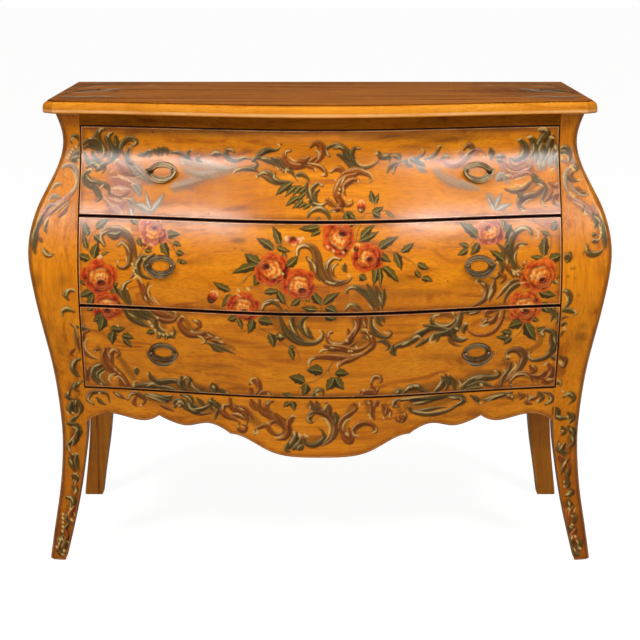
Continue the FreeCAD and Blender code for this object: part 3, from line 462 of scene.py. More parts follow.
upperRight = placed(190, 680, {
    "mass": [
        (18,180,122,186,106,188,90,200,74), (22,200,126,204,108,202,90), (26,224,134,222,114,220,96,221,80),
        (20,240,124,240,104,238,88), (12,160,90,172,94,184,92), (12,200,62,207,56,198,44,180,40,160,38),
        (16,222,42,212,32,195,26,178,16), (12,238,44,228,30,222,18),
    ],
    "veils": [
        ("mauve",20,146,80,162,72,182,72,198,82), ("slate",16,136,62,146,64,154,56),
        # the first two slate veils here lie over the glare: the grey haze of light reflected on the varnish, painted
        # in
        ("slate",18,22,76,36,64,56,55,76,48), ("slate",13,68,54,82,48,96,44), ("slate",12,128,12,123,26,119,34),
        ("mauve",15,40,88,60,88,78,100,98,108), ("mauve",10,252,38,240,28,242,16,252,12),
    ],
    "mauve": [
        (10,31,98,42,89,55,86,68,92,78,102,90,112,102,111,112,104,110,97), (7,63,110,68,104,76,96),
        (13,146,86,160,73,178,70,194,75,198,85), (10,150,93,160,81,175,77,189,82), (9,159,94,168,85,182,88,191,96),
        (8,143,62,155,64,171,60), (7,162,61,175,66,190,69,203,64),
    ],
    "slate": [
        (15,134,59,142,65,149,57), (11,212,93,214,80,216,71), (10,222,93,222,80,225,73), (9,234,96,235,82,239,77),
    ],
    "umber": [
        (9,72,113,81,121,89,114,78,104), (8,148,42,162,38,182,42,196,53,207,61),
        (12,182,7,173,12,174,22,188,29,205,33,218,42,215,53),
    ],
    "olive": [
        (6,31,99,40,104,46,98), (10,122,113,124,104,122,94), (9,132,98,142,99,151,97), (7,135,92,146,90),
        (13,175,128,183,123,187,110,181,98,168,92,157,96), (13,193,133,203,125,203,110,196,93),
        (15,214,147,227,139,221,130,214,120,211,103), (13,240,133,234,121,230,105,227,88),
        (12,202,121,209,105,206,86), (11,220,121,222,105,218,88), (11,248,116,241,102,242,87),
        (10,250,105,246,90,248,76), (11,201,65,207,57,218,54), (9,172,33,182,26),
        (6,208,48,218,51,224,42,220,31,215,20,218,12,226,10),
    ],
    "rust": [(8,230,51,240,47,251,42), (10,251,33,240,28,238,17,247,11), (8,235,36,228,25,220,19)],
    # leaves painted grey where light reflects on the varnish: painted reflection
    "greyLeaves": [(128,8,112,37,9), (128,10,143,37,10), (130,6,161,17,11), (126,6,119,22,8)],
    "cream": [
        (4.4,173,127,180,130), (5.4,191,131,201,134), (7,212,146,222,148,229,143), (5,233,132,243,129),
        (5,244,116,247,107), (5,234,71,244,77), (3,203,119,203,109,197,99), (3,219,120,214,109,216,97),
        (3,234,111,231,100,227,92), (2.6,152,91,158,85), (3,162,88,168,84,175,83), (2.6,176,8,181,4,188,6),
        (2.2,179,14,190,22,199,23), (3,154,47,162,45,171,47), (3.4,166,58,178,60,191,64),
        (3.6,166,50,180,47,196,57), (3,210,49,217,47,221,42), (2.6,216,20,218,13,226,11), (3,149,65,160,63),
        (2.4,152,77,166,71,182,71), (3.4,37,102,46,103), (3,61,110,67,111), (4,108,97,112,97),
        (2.6,72,98,82,108,94,114), (3,23,120,31,121), (2.6,135,101,145,101), (2.6,242,20,247,13),
        (2.4,240,47,250,51), (2.4,180,98,186,110), (2.2,214,88,215,76), (2.2,222,88,223,77),
    ],
    "dabs": [(58,109,3), (6,95,3)],
})
middleLeft = placed(-450, 500, {
    "mauve": [(8,89,152,102,145,112,128,114,112)],
    "umber": [
        (13,57,124,51,140,62,151,78,152,93,148,105,135,113,118,116,100,112,89),
        (10,83,124,90,130,100,122,105,107,103,92,92,84,82,87,81,94), (8,125,102,116,86,112,74,105,66),
    ],
    "rust": [(11,120,63,128,49,132,32,142,18), (6,138,60,136,46,142,30,150,19)],
    "olive": [
        (12,65,143,78,141,89,148), (11,103,17,93,30,90,45,98,58,109,62), (6,98,45,101,30,107,19),
        (11,141,106,128,106,119,94,122,78,132,70,146,67), (7,150,112,132,96,132,82),
    ],
    "stems": [
        (39,98,30,112,29,130,37,145,48,156), (167,138,180,133,188,120,196,104), (132,124,125,112,118,100),
        (48,100,55,104), (68,41,78,48),
    ],
    "leaves": [
        (28,139,20,165,14), (42,152,65,169,14), (38,141,55,125,13), (26,114,18,147,10), (38,100,47,129,18),
        (32,98,6,107,15), (51,105,68,112,6), (37,52,9,58,12), (39,44,7,28,17), (36,34,24,9,19), (68,48,84,58,10),
        (72,53,84,28,15), (167,144,199,148,15), (165,134,179,107,17), (184,133,201,127,10), (191,117,206,115,12),
        (194,103,212,98,9), (194,98,198,106,8), (132,118,147,116,9), (106,176,120,160,11), (120,140,128,122,10),
    ],
    "buds": [(50,99,8,90,"pink"), (258,41,14,60,"red"), (132,132,8,100,"pink"), (143,125,7,70,"pink")],
    "roses": [(147,150,26,150,157,"pink"), (62,12,29,61,3,"red"), (48,66,33,51,56,"red")],
    "cream": [
        (3.6,57,124,51,134,52,143,65,150), (3.4,83,123,89,129,99,123,105,112), (4,97,155,105,151,109,145),
        (2.6,81,90,83,97,78,98), (3.4,90,44,95,56,107,62), (4.6,112,65,118,70,124,66,128,57),
        (3.2,149,56,140,51,139,38,151,20), (3,147,34,153,25,161,18), (2.6,124,103,117,92,119,80), (3,132,34,135,25),
        (2.4,70,156,82,155), (3,130,102,135,103), (2.4,98,105,99,95), (3,42,72,47,64), (3,50,72,52,65),
        (3,58,70,57,64), (3,64,24,67,17),
    ],
    "dabs": [
        (110,91,4.4), (114,85,4), (112,80,4), (115,74,4.4), (100,46,2.6), (130,134,3.4), (144,128,3.4), (48,101,5),
    ],
})
middleMiddle = placed(-200, 500, {
    "umber": [
        (14,159,121,162,131,175,135,188,129,195,113,198,96,204,81,215,72,230,68,248,71,257,79),
        (11,177,114,186,103,191,88,199,73), (9,236,111,224,113,213,103,212,90,218,78,232,72,250,76),
        (6,231,104,222,98,222,86,230,79),
    ],
    "olive": [
        (9,247,52,251,60,262,62,274,55,286,40,298,17), (9,266,62,282,53,292,35,304,18),
        (8,284,66,295,50,301,35,306,18), (8,299,62,307,43,312,16), (8,314,56,313,40,314,25),
        (8,244,103,243,95,248,88), (8,246,20,252,29,264,28,276,19), (9,96,19,101,30,115,35,128,25,132,17),
    ],
    "rust": [(6,252,24,262,22,273,17)],
    "stems": [
        (304,125,330,121,355,109,371,96,375,79), (96,96,85,90,70,78,53,62), (70,77,62,65), (202,18,202,30,196,40),
        (202,30,212,40), (128,130,134,140,140,148), (260,142,258,155,266,174), (264,142,268,160,278,176),
        (166,40,174,30,172,20), (128,51,140,30,148,17),
    ],
    "leaves": [
        (200,167,162,163,14), (202,160,183,150,10), (129,136,115,167,15), (118,127,86,146,16), (122,132,148,124,11),
        (134,122,142,112,10), (140,98,162,118,16), (94,102,65,119,21), (91,100,42,83,17), (93,88,82,62,19),
        (40,52,8,67,14), (40,46,23,21,14), (100,51,130,53,13), (125,53,139,29,14), (164,41,147,27,13),
        (174,40,183,35,7), (202,31,185,57,17), (206,31,236,53,15), (196,21,166,25,13), (210,25,231,13,17),
        (272,146,298,169,14), (270,142,306,158,13), (240,168,266,174,11), (303,127,341,148,16),
        (345,121,369,137,13), (304,122,327,104,14), (333,121,346,88,15), (374,100,397,90,13), (370,87,380,73,11),
        (382,74,403,67,13), (301,104,295,62,15), (305,100,308,60,11), (312,98,341,67,15), (271,83,284,75,15),
        (134,19,150,8,10),
    ],
    "buds": [
        (144,145,9,160,"pink"), (160,143,9,20,"pink"), (266,132,8,60,"orange"), (139,84,7,90,"orange"),
        (153,141,9,-80,"red"),
    ],
    "roses": [
        (62,24,29,64,14,"red"), (234,146,31,240,155,"red"), (284,112,27,288,110,"red"), (115,92,31,104,97,"red"),
        (162,67,30,168,56,"red"),
    ],
    "cream": [
        (4.4,159,118,160,129,170,135,182,133), (3,178,114,186,106), (3.4,187,106,191,97,192,88),
        (4,235,112,224,114,215,106,212,95), (2.6,230,104,223,97,222,89), (3,210,73,222,69,230,70),
        (2.6,248,57,256,62,266,60), (2.6,247,23,254,30,264,27), (3.4,95,20,101,30,112,34), (2.4,288,28,294,20),
        (4,120,38,127,37), (2.4,305,46,310,30), (3,50,47,60,41), (3,160,66,165,62), (3,225,152,232,140),
        (3,232,150,240,138),
    ],
    "dabs": [
        (252,82,5), (141,147,5), (170,147,4.4), (214,132,5), (224,125,5), (242,122,4.4), (134,85,4), (72,56,6),
        (54,53,5), (258,126,4),
    ],
})
middleRight = placed(240, 490, {
    "umber": [
        (11,44,76,52,71,61,62,62,50,57,39,45,31,32,26), (12,76,72,72,56,67,34), (8,124,73,110,71,98,61,88,48,79,38),
        (8,135,137,120,136,113,125,112,110,118,98,128,93,139,98),
    ],
    "olive": [
        (12,145,154,138,164,122,162,110,152,105,135,105,115,110,100,118,85,124,75),
        (6,100,151,97,132,102,112,100,98), (6,80,140,90,130,94,116,96,100), (5,96,132,101,137,106,131,100,125),
        (9,134,67,118,64,105,55,97,41,94,27), (8,72,108,82,111,89,100,87,87,78,78,66,80),
        (7,94,100,102,93,108,84,112,76), (8,110,160,98,170,90,182),
    ],
    "rust": [
        (9,84,87,93,78,87,66), (7,95,102,103,95,112,84), (5,134,105,130,100,137,95), (10,112,82,122,84,128,75),
    ],
    "stems": [
        (145,182,152,174,165,167,176,158,181,145,180,128,172,109), (43,150,30,138,22,129), (188,95,191,88,188,80),
    ],
    "leaves": [
        (46,151,12,178,18), (47,142,31,120,16), (28,135,10,142,10), (27,132,7,122,13), (92,147,108,171,17),
        (94,108,66,128,14), (94,178,93,166,9), (184,158,190,176,15), (178,151,162,159,9), (168,114,172,151,19),
        (167,111,142,114,10), (177,108,202,117,19), (184,70,197,62,8), (185,74,199,77,7), (158,50,192,40,18),
        (166,29,184,8,15), (210,100,218,122,12),
    ],
    "roses": [(68,160,26,63,166,"pink"), (135,21,34,136,12,"orange"), (159,80,33,166,70,"orange")],
    "cream": [
        (4,115,158,126,164,138,162,144,155), (4.4,149,163,157,156,157,147,148,144), (3.4,122,133,132,134),
        (2.6,118,126,113,115,115,104), (2.6,107,92,116,88,126,93), (3.4,46,78,42,72,48,69), (3.6,52,70,59,66),
        (3,54,58,52,52), (5,72,57,68,48,64,39), (2.8,103,67,91,56,80,40), (2.6,135,68,122,66), (2.4,78,108,84,104),
        (3,65,165,72,157), (2.6,190,70,196,62), (3,152,80,160,72), (3,127,18,132,12), (2.4,97,110,99,102),
        (2.6,110,90,114,80),
    ],
    "dabs": [(132,104,4), (73,106,4), (70,162,4), (112,85,4), (120,82,4), (145,78,5)],
})
lowerLeft = placed(-450, 340, {
    "olive": [
        (17,92,171,104,157,121,144,139,135), (14,106,172,124,160,142,147), (11,120,172,137,162,149,151),
        (10,153,159,149,148,150,138,157,128,167,121,178,120,185,127,182,139), (12,48,54,37,51,27,40,26,26,35,13),
        (9,46,45,36,36,37,22,46,11), (8,245,110,261,106,276,100,296,91), (8,251,107,262,98,274,94),
        (13,98,11,115,15,140,18,160,26,180,29,194,21,205,11), (10,148,15,170,12,186,10), (14,194,37,193,21,202,9),
        (7,198,32,204,38,210,32,206,22,217,12), (14,252,27,254,18,253,8), (6,210,13,228,9,246,10),
        (9,109,51,109,43,110,36), (8,133,43,136,34,145,27,158,26), (9,2,130,18,126,27,122), (8,263,18,278,9),
    ],
    "rust": [
        (14,140,172,160,163,178,158,188,150), (10,150,155,165,150,182,150,190,158),
        (13,200,159,194,148,200,135,212,126,228,126,243,130,256,126,266,121), (8,220,153,229,150,231,142,221,135),
        (7,240,117,252,121,264,118,272,122), (7,250,116,265,114,280,109), (5,228,123,236,120,241,112,234,107),
        (10,22,122,12,115,7,100,9,85,20,71,36,65), (17,52,86,48,72,54,56,67,43,82,30,92,16,96,5),
        (6,41,86,33,84,33,77), (11,59,89,62,72,66,57), (9,62,70,64,82,73,85,78,77,71,70), (10,76,24,83,13,84,6),
        (9,20,48,13,32,18,16), (8,8,50,10,30,7,12),
    ],
    "stems": [(56,144,64,130,75,118,89,113)],
    "leaves": [
        (52,156,33,141,18), (52,152,43,121,20), (64,128,93,130,16), (70,123,67,96,18), (85,115,109,110,15),
        (88,109,103,91,12), (148,126,131,122,12), (158,121,151,113,9), (170,120,167,111,8), (178,121,186,115,9),
        (35,170,22,162,9),
    ],
    "cream": [
        (3,181,171,189,165,186,159), (2.6,158,146,158,137,166,130,176,131), (4,198,160,205,158),
        (4,221,153,230,150), (4.4,228,123,236,119,240,112,233,108), (3.4,20,107,14,96,17,82,28,71,39,67),
        (3.4,62,80,69,87,77,81), (3,48,40,40,33,40,24,49,15), (4.4,68,37,59,32,56,22,63,15),
        (3.4,65,24,72,31,81,26,89,14), (3.4,102,12,104,22,113,24), (2.6,128,15,140,20,151,15),
        (3,198,34,204,38,209,32), (2.4,212,28,217,18,228,12), (3.4,67,48,72,42), (3,75,39,79,36), (4,32,81,35,79),
        (2.6,245,128,254,123), (3,260,122,268,121), (2.4,268,113,274,111), (3,110,53,105,48), (3,132,43,129,36),
        (2.6,100,160,116,151), (2.6,30,50,41,54), (2.6,278,12,282,10), (3,42,12,39,17), (2.2,58,80,61,65),
        (3,266,116,276,113), (2.6,215,132,221,131),
    ],
    "dabs": [
        (154,154,5), (139,144,5.4), (144,137,5), (149,129,5), (157,123,5), (164,121,5), (171,122,5), (180,124,4.4),
        (254,21,4.4), (79,134,4), (102,14,4),
    ],
})
lowerMiddle = placed(-170, 340, {
    "olive": [
        (12,97,171,104,150,112,135,125,123,142,117,160,117,173,125,176,136,172,142),
        (10,119,171,120,150,128,132,141,121), (9,148,169,138,162,136,150,142,136,156,123),
        (7,148,146,152,132,161,124), (10,261,170,263,150,270,135,282,127,292,126,299,133,294,140),
        (8,272,170,275,155,283,147), (6,280,167,286,154), (10,309,10,315,18,321,11),
        (12,324,11,332,21,348,23,360,15,371,10), (10,304,91,307,105,320,110,340,118,360,132,376,139),
        (8,302,108,300,96,309,89), (8,338,125,355,134,376,141), (9,358,146,370,141,386,134),
        (8,344,105,360,115,376,126), (8,274,118,285,118,294,108,289,99), (9,156,10,164,22,174,22,176,11),
    ],
    "rust": [
        (11,191,138,183,135,184,123,194,115,208,113,220,116,228,130,232,148,229,164), (8,220,143,222,132,215,121),
        (10,242,165,236,148,226,130,214,118,194,112), (9,236,170,238,150,231,129), (9,248,170,250,155,253,141),
        (11,246,138,256,134,263,122,265,110,258,100,249,91), (9,170,100,182,106,200,106,220,108,237,119),
        (12,179,112,205,108,230,102,250,107,263,119), (11,149,76,155,86,170,90,195,90,220,88,245,93,261,106),
        (9,204,71,215,80,230,85,249,93), (11,41,32,50,41,57,32,58,20,49,7), (7,57,10,65,16,75,16,80,7),
        (7,42,23,46,9), (10,245,21,243,10,255,12,270,12,279,26), (9,264,31,268,18,276,9),
        (8,263,34,268,46,278,47,282,38,275,34), (12,250,16,262,18,271,12),
    ],
    "stems": [
        (59,148,72,138,90,130,108,112,116,106), (206,88,192,77,185,65,178,55,165,43,148,37,134,28,126,9),
        (185,64,190,52), (126,107,132,90,134,80), (192,75,184,62,176,60),
    ],
    "leaves": [
        (20,164,2,157,14), (22,161,30,139,10), (49,161,41,132,17), (59,159,86,152,19), (79,134,87,106,16),
        (90,128,110,130,17), (114,110,126,106,10), (115,106,122,82,12), (176,60,145,62,23), (143,38,113,49,21),
        (145,35,139,10,18), (196,48,181,21,21), (198,48,214,22,19), (197,56,223,54,18), (120,11,100,15,10),
        (178,172,200,162,15),
    ],
    "cream": [
        (3,115,161,120,145,129,131), (3.2,143,158,142,147,148,131), (3.2,164,123,172,130,173,139),
        (3.6,245,142,253,141,257,132), (3.2,184,129,187,138,193,139), (3,265,161,268,148,277,137),
        (3.4,284,137,292,133,297,136), (4.6,169,98,175,103,185,104), (5,149,72,152,83,162,88),
        (3.4,202,67,202,76,208,81), (3,319,109,333,116), (4.4,339,123,348,125,353,120), (3,45,32,43,40,52,44,56,36),
        (3,263,37,267,47,276,49,281,40), (3,245,21,254,21), (4.4,328,17,333,23,340,22), (4.4,342,26,352,24),
        (2.6,185,124,192,116,206,115,218,120), (2.4,232,159,234,148,228,136), (2.4,248,158,252,147),
        (3,188,108,198,106), (2.4,245,96,236,93,222,92), (3,162,18,167,23,172,20), (3,311,12,315,19),
        (3.4,235,107,238,106), (2.4,253,130,258,122), (2.4,342,132,356,138,368,142), (3,74,15,79,10),
    ],
    "dabs": [
        (218,121,5), (236,107,4.4), (227,100,4), (222,100,3.4), (99,130,5), (262,128,4), (170,140,4), (45,34,4),
        (165,13,4.4),
    ],
})
lowerRight = placed(180, 340, {
    "olive": [
        (8,35,164,24,162,22,152,32,145,48,142,61,148,67,160,60,168),
        (13,76,172,74,155,68,140,58,130,40,128,24,125,9,114), (9,66,139,52,134,35,140,14,144),
        (8,53,132,35,125,19,114), (8,28,126,33,118,30,111), (10,82,168,98,167,117,172),
        (10,59,131,65,118,78,112,91,115), (10,87,144,81,134,83,125),
        (12,232,114,229,123,240,124,252,115,256,95,250,82,240,70,225,64,212,65,206,74,212,82),
        (8,245,112,249,95,245,79), (7,250,69,261,63), (12,32,11,42,22,49,33,42,43), (10,59,40,66,26,70,11),
        (9,51,44,56,26,52,11), (15,81,11,95,26,115,33,132,33,148,34,153,42,145,48), (11,94,18,120,22,141,14),
        (9,85,9,105,12,123,14), (9,242,168,248,154,244,140), (8,252,160,258,148,254,134),
    ],
    "umber": [
        (14,168,71,165,81,175,87,188,85,197,72,195,58,188,45,176,32,164,21), (9,173,59,170,45,160,30,157,11),
        (6,56,131,56,115,65,105,79,101), (7,196,83,204,76),
    ],
    "rust": [
        (7,156,170,154,155,148,140,138,127,122,120,105,121,92,128,85,139), (10,142,169,128,168,122,160,132,155),
        (11,143,161,135,148,120,143,110,138), (8,116,148,126,151), (10,174,11,175,25,185,35,200,38,212,31,219,16),
        (12,211,52,219,43,212,36), (10,213,32,230,30,240,38,251,46,245,53), (13,245,54,253,40,246,25,234,16),
        (9,233,26,245,18,260,22),
    ],
    "stems": [(194,137,188,122,177,111), (192,140,186,132)],
    "leaves": [
        (191,140,164,131,21), (173,119,151,125,14), (170,113,142,115,12), (172,112,158,98,14), (197,140,219,103,23),
        (209,148,223,143,10), (219,123,235,131,10), (227,174,241,157,13), (244,174,251,159,9),
    ],
    "cream": [
        (4,36,165,26,162,24,155), (3.2,28,150,35,145,50,143,63,151,65,159), (4.4,58,170,63,163),
        (4.6,25,126,20,118,23,110,31,112), (4.4,66,137,72,134), (3,70,128,76,118,88,118), (5,82,145,90,144),
        (2.6,150,166,146,151), (5,111,139,118,138,129,141), (3.6,123,149,116,143), (4.6,232,114,228,120,234,126),
        (3.4,208,79,208,70,216,64), (4.4,172,72,165,74,165,81), (4.6,180,61,183,52,175,42,166,29),
        (3.6,175,24,185,35,200,36,212,28), (4.4,237,52,244,57), (3,244,23,256,23), (3.2,33,15,41,25,42,38),
        (3,76,31,80,22,74,12), (4.4,142,47,149,44), (5,118,21,122,15), (2.6,91,27,78,17), (2.6,160,50,165,38),
        (3,175,16,179,15), (2.4,90,163,105,166), (2.4,252,110,255,96), (2.4,108,32,126,36), (2.4,68,160,70,150),
        (2.6,187,172,195,174,204,170), (3,218,50,213,54),
    ],
    "dabs": [(170,74,4.4), (164,116,3.4), (41,45,3), (56,46,3)],
})
apronLeft = placed(-440, 290, {
    "umber": [
        (9,12,21,2,30,9,44,25,48,40,43,44,26), (8,79,34,85,45,97,49,112,35,104,21), (8,195,36,200,21,218,15,237,17),
        (7,53,48,65,41,76,34),
    ],
    "olive": [
        (12,169,26,179,40,189,29,207,21,229,29,242,41), (11,182,51,196,47,202,32,222,25),
        (10,116,48,138,44,155,38,166,48), (9,244,43,253,32,248,17,243,3), (8,114,45,135,40,156,32),
        (7,178,26,185,33,178,40,168,35,172,24), (8,234,42,244,36,252,27), (8,240,48,234,35,243,22),
        (7,132,48,150,44,168,48), (7,20,35,27,26,38,21), (8,212,46,222,36,228,28),
    ],
    "rust": [(8,95,41,90,30,97,20), (7,142,26,155,22,168,15)],
    "cream": [
        (2.6,172,29,180,38,189,28), (2.6,204,23,224,28,237,37), (2.6,120,48,138,45,153,40),
        (2.6,186,50,197,45,202,35), (3,11,22,3,31,9,42), (3,80,35,86,45,96,48), (3,115,44,135,38,152,31),
        (3,195,35,199,24,210,18), (3,175,38,182,34), (3,56,46,66,39), (2.6,235,44,240,40),
    ],
    "dabs": [(26,44,4), (105,23,4), (178,28,3.6)],
})
apronMiddle = placed(-190, 230, {
    "umber": [
        (14,172,69,168,78,178,88,195,88,210,78,219,60,217,42,208,28,193,19), (10,172,109,177,98,190,91),
        (9,183,109,186,100,193,94), (11,202,105,206,92,207,80), (8,177,81,169,74,173,67,180,69),
    ],
    "olive": [
        (15,128,14,138,22,144,35,146,47), (12,140,12,150,20,155,33), (10,150,12,159,19),
        (10,160,33,164,23,176,20,188,25,197,35,194,49,187,55), (8,218,86,221,75,218,61),
        (7,360,99,375,99,395,104,426,108), (8,353,92,364,82,380,83,400,86,426,88), (7,355,104,370,108,386,109),
        (9,130,22,128,10,135,6),
    ],
    "rust": [
        (12,24,109,25,95,35,88,45,82,54,72,55,58), (10,21,96,12,93,9,82,18,73,30,68,43,61), (9,29,78,42,75,51,66),
        (9,34,96,50,90,60,80,66,69), (8,39,58,39,49,48,45,53,54,43,59), (11,63,109,68,95,73,87),
        (11,78,109,78,95,85,85,95,78,108,68,119,57), (9,103,108,93,104,92,93,101,84),
        (8,68,39,70,48,78,54,90,58,97,48,108,40,120,44,122,57), (7,108,68,100,65,98,58),
        (15,109,81,122,66,129,51,125,35,108,29), (11,130,58,134,70,138,76,146,75),
        (9,252,104,257,95,250,87,240,80,230,70,227,55,232,42,243,35,249,39), (13,230,51,236,36,246,29,243,56),
        (10,255,37,250,45,255,56,268,64,282,62,292,54,295,45,288,41), (9,282,109,286,95,285,82,291,68),
        (9,295,107,290,95), (6,304,100,308,85,308,71), (6,314,94,312,76), (6,318,90,321,74),
        (6,329,106,326,96,336,95), (7,344,83,348,73,340,65,331,68,330,76),
    ],
    "leaves": [(138,109,143,89,13), (136,107,123,96,11)],
    "cream": [
        (3.4,10,86,11,95,20,97), (3.4,29,79,40,78,51,70), (2.6,40,92,52,85), (3,92,102,99,108),
        (4.6,67,39,74,42,72,51), (2.6,89,66,97,59), (3,105,34,115,35,122,43), (4.6,141,48,144,38),
        (4,150,41,154,34), (2.6,134,75,140,80,147,76), (2.6,171,101,172,92),
        (4.6,190,73,198,74,205,64,208,50,204,35,195,24), (3,198,93,202,102,208,105), (3.6,263,106,263,97),
        (3.6,248,74,238,69,232,57,234,47), (4,261,37,252,40,250,49), (3,286,42,294,47,293,55), (3,307,76,309,67),
        (3,319,83,319,71), (3.6,327,106,326,97,332,93), (3,361,98,380,101,400,105), (2.6,353,94,358,88),
        (3,38,56,39,50), (2.6,166,78,168,70,175,66), (2.6,345,81,348,73),
    ],
    "dabs": [
        (154,40,6), (163,39,6), (167,38,4.4), (240,41,6), (281,79,4.4), (283,73,4.4), (68,43,4.4), (280,104,4),
    ],
})
apronRight = placed(130, 290, {
    "olive": [
        (12,18,47,41,50,73,50,104,52,130,54), (10,119,28,135,37,129,50,111,52), (10,177,37,190,40,206,45,232,50),
        (8,215,48,195,43,176,31), (8,35,31,40,22,70,15,110,21,140,41), (7,106,48,125,45,145,35),
        (7,150,48,162,40,168,28), (8,282,46,288,35,280,24),
    ],
    "rust": [
        (8,260,40,268,34,278,39,279,48), (9,17,14,24,8,21,0), (9,218,44,226,41,232,32), (8,265,36,258,28,270,22),
        (7,242,47,250,40,244,32),
    ],
    "umber": [(8,5,35,6,45,17,50), (8,295,20,306,28,301,42,286,47)],
    "cream": [
        (2.6,22,48,46,51,76,51), (2.6,122,31,133,38,128,48), (2.6,179,39,194,43,214,47), (2.6,261,41,268,36,276,40),
        (2.6,3,36,5,44,13,49), (3,213,46,195,41,180,31), (3,225,45,220,40), (3,266,35,260,29),
        (3,42,24,70,18,106,23), (3,297,21,305,30,300,41), (3,110,47,126,44),
    ],
    "dabs": [(230,40,4), (170,30,4), (280,28,4)],
})
postLeft = placed(-530, 0, {
    "mass": [
        (24,84,786,76,777,71,768), (16,68,696,44,692,25,672,13,650), (14,10,650,6,625,8,608),
        (12,65,256,64,236,55,222,52,214), (10,58,205,67,192,72,176), (15,56,100,48,75,46,50,38,25,40,12),
        (13,72,324,66,306,68,292),
    ],
    "stains": [(9,556,9,16,0.45), (61,558,8,10,0.35), (50,430,12,20,0.25), (30,470,12,14,0.25), (38,390,8,22,0.22)],
    "mauve": [(14,77,716,64,702,48,690,32,676,19,658), (8,33,690,22,676,14,658)],
    "slate": [
        (10,55,756,64,761,76,758,83,747,85,733,80,719,70,708), (6,39,720,45,727,56,728), (8,33,702,43,707,56,703),
        (6,27,686,37,692,48,690),
    ],
    "umber": [
        (5,17,634,21,625), (7,75,405,67,390,81,367), (8,65,262,74,255,67,240,52,222,60,211),
        (6,70,474,78,466,79,442,83,416), (7,54,196,60,184,69,171), (7,52,121,63,112,55,94),
        (6,70,355,63,345,60,336),
    ],
    "olive": [
        (7,84,796,87,805,81,813,72,812,69,803,73,799), (12,88,786,81,783,72,776), (11,85,775,78,772,71,770),
        (13,12,655,7,637,6,618,9,604), (8,21,672,13,658,9,645), (6,31,664,26,652,30,640),
        (9,23,615,29,606,37,603,44,606), (9,68,522,63,532,72,540,82,537), (9,77,499,66,504,56,499,57,489),
        (10,83,404,72,398,67,385,72,372,82,367), (9,83,358,73,352,69,342,77,336), (9,58,336,54,325,66,319),
        (14,68,318,64,304,72,292), (12,60,312,56,298,62,286), (9,75,318,78,300,72,284), (8,70,284,60,276,54,262),
        (11,56,268,70,266,75,254,68,240,56,228,54,215), (10,72,250,68,236,62,222), (7,60,205,67,200,72,207),
        (8,70,205,68,190,73,172), (7,58,200,58,186,65,168), (7,70,166,64,162,68,154,74,160),
        (8,61,162,67,155,62,146), (7,61,140,68,134,64,124), (10,50,118,60,116,61,104,56,94), (9,60,90,52,80,62,66),
        (9,52,66,44,54,50,40,40,30), (9,44,44,36,36,38,24), (10,50,36,44,24,48,12), (9,33,26,38,15,46,10),
    ],
    "rust": [
        (8,68,690,60,680,50,670), (7,74,425,66,416,72,408), (7,62,246,70,236), (8,64,100,56,86,60,72),
        (7,42,60,50,46,44,34), (6,32,30,34,18),
    ],
    "cream": [
        (3.2,70,805,74,810,78,808), (2.4,56,759,65,764,75,763,82,757), (2.6,72,752,79,742,81,728,73,715),
        (2.2,60,742,64,748), (2,42,727,50,730), (2.4,30,696,34,704), (2.4,60,700,44,687,30,673),
        (2.2,68,697,52,684,38,671), (4,33,671,27,661,23,648), (2.2,18,676,12,664,8,650),
        (4,23,618,25,609,32,603,41,602), (3.8,64,530,70,541,80,541,85,536), (3.8,75,503,64,506,54,499,57,489),
        (2.4,74,474,80,465,82,448), (3,75,403,68,392,68,380), (2.6,81,357,73,350), (3.6,50,293,55,286),
        (3.4,64,262,72,257,69,250), (2.6,68,246,60,234,52,226), (3,53,222,56,212,62,210), (3,60,206,66,203),
        (3,67,208,74,204), (3,67,137,68,130,64,124), (3,51,120,59,117,63,108), (3,56,335,54,327),
        (3,63,166,70,164,73,158), (3,56,194,61,184), (2.2,70,318,67,308), (2.6,40,42,44,36),
        (2.4,64,90,68,80,62,72), (2.6,36,34,34,25), (2.4,52,36,58,30,54,20), (2.4,40,12,48,9), (2.2,68,152,65,143),
    ],
    # painted highlight along the arris
    "arris": [(64,792,57,772,47,745,33,713,20,686,11,661,4,636,1,612,2,588)],
    "dabs": [
        (80,793,4.4), (73,788,4), (70,783,4), (67,778,4.6), (64,773,4.4), (86,768,5), (86,757,5), (43,85,4.4),
        (43,78,4.4), (43,70,4.4), (43,62,4.4), (42,54,4.4), (60,76,4), (38,38,4.4), (62,290,4), (31,24,4.4),
        (46,18,4), (58,96,4),
    ],
})
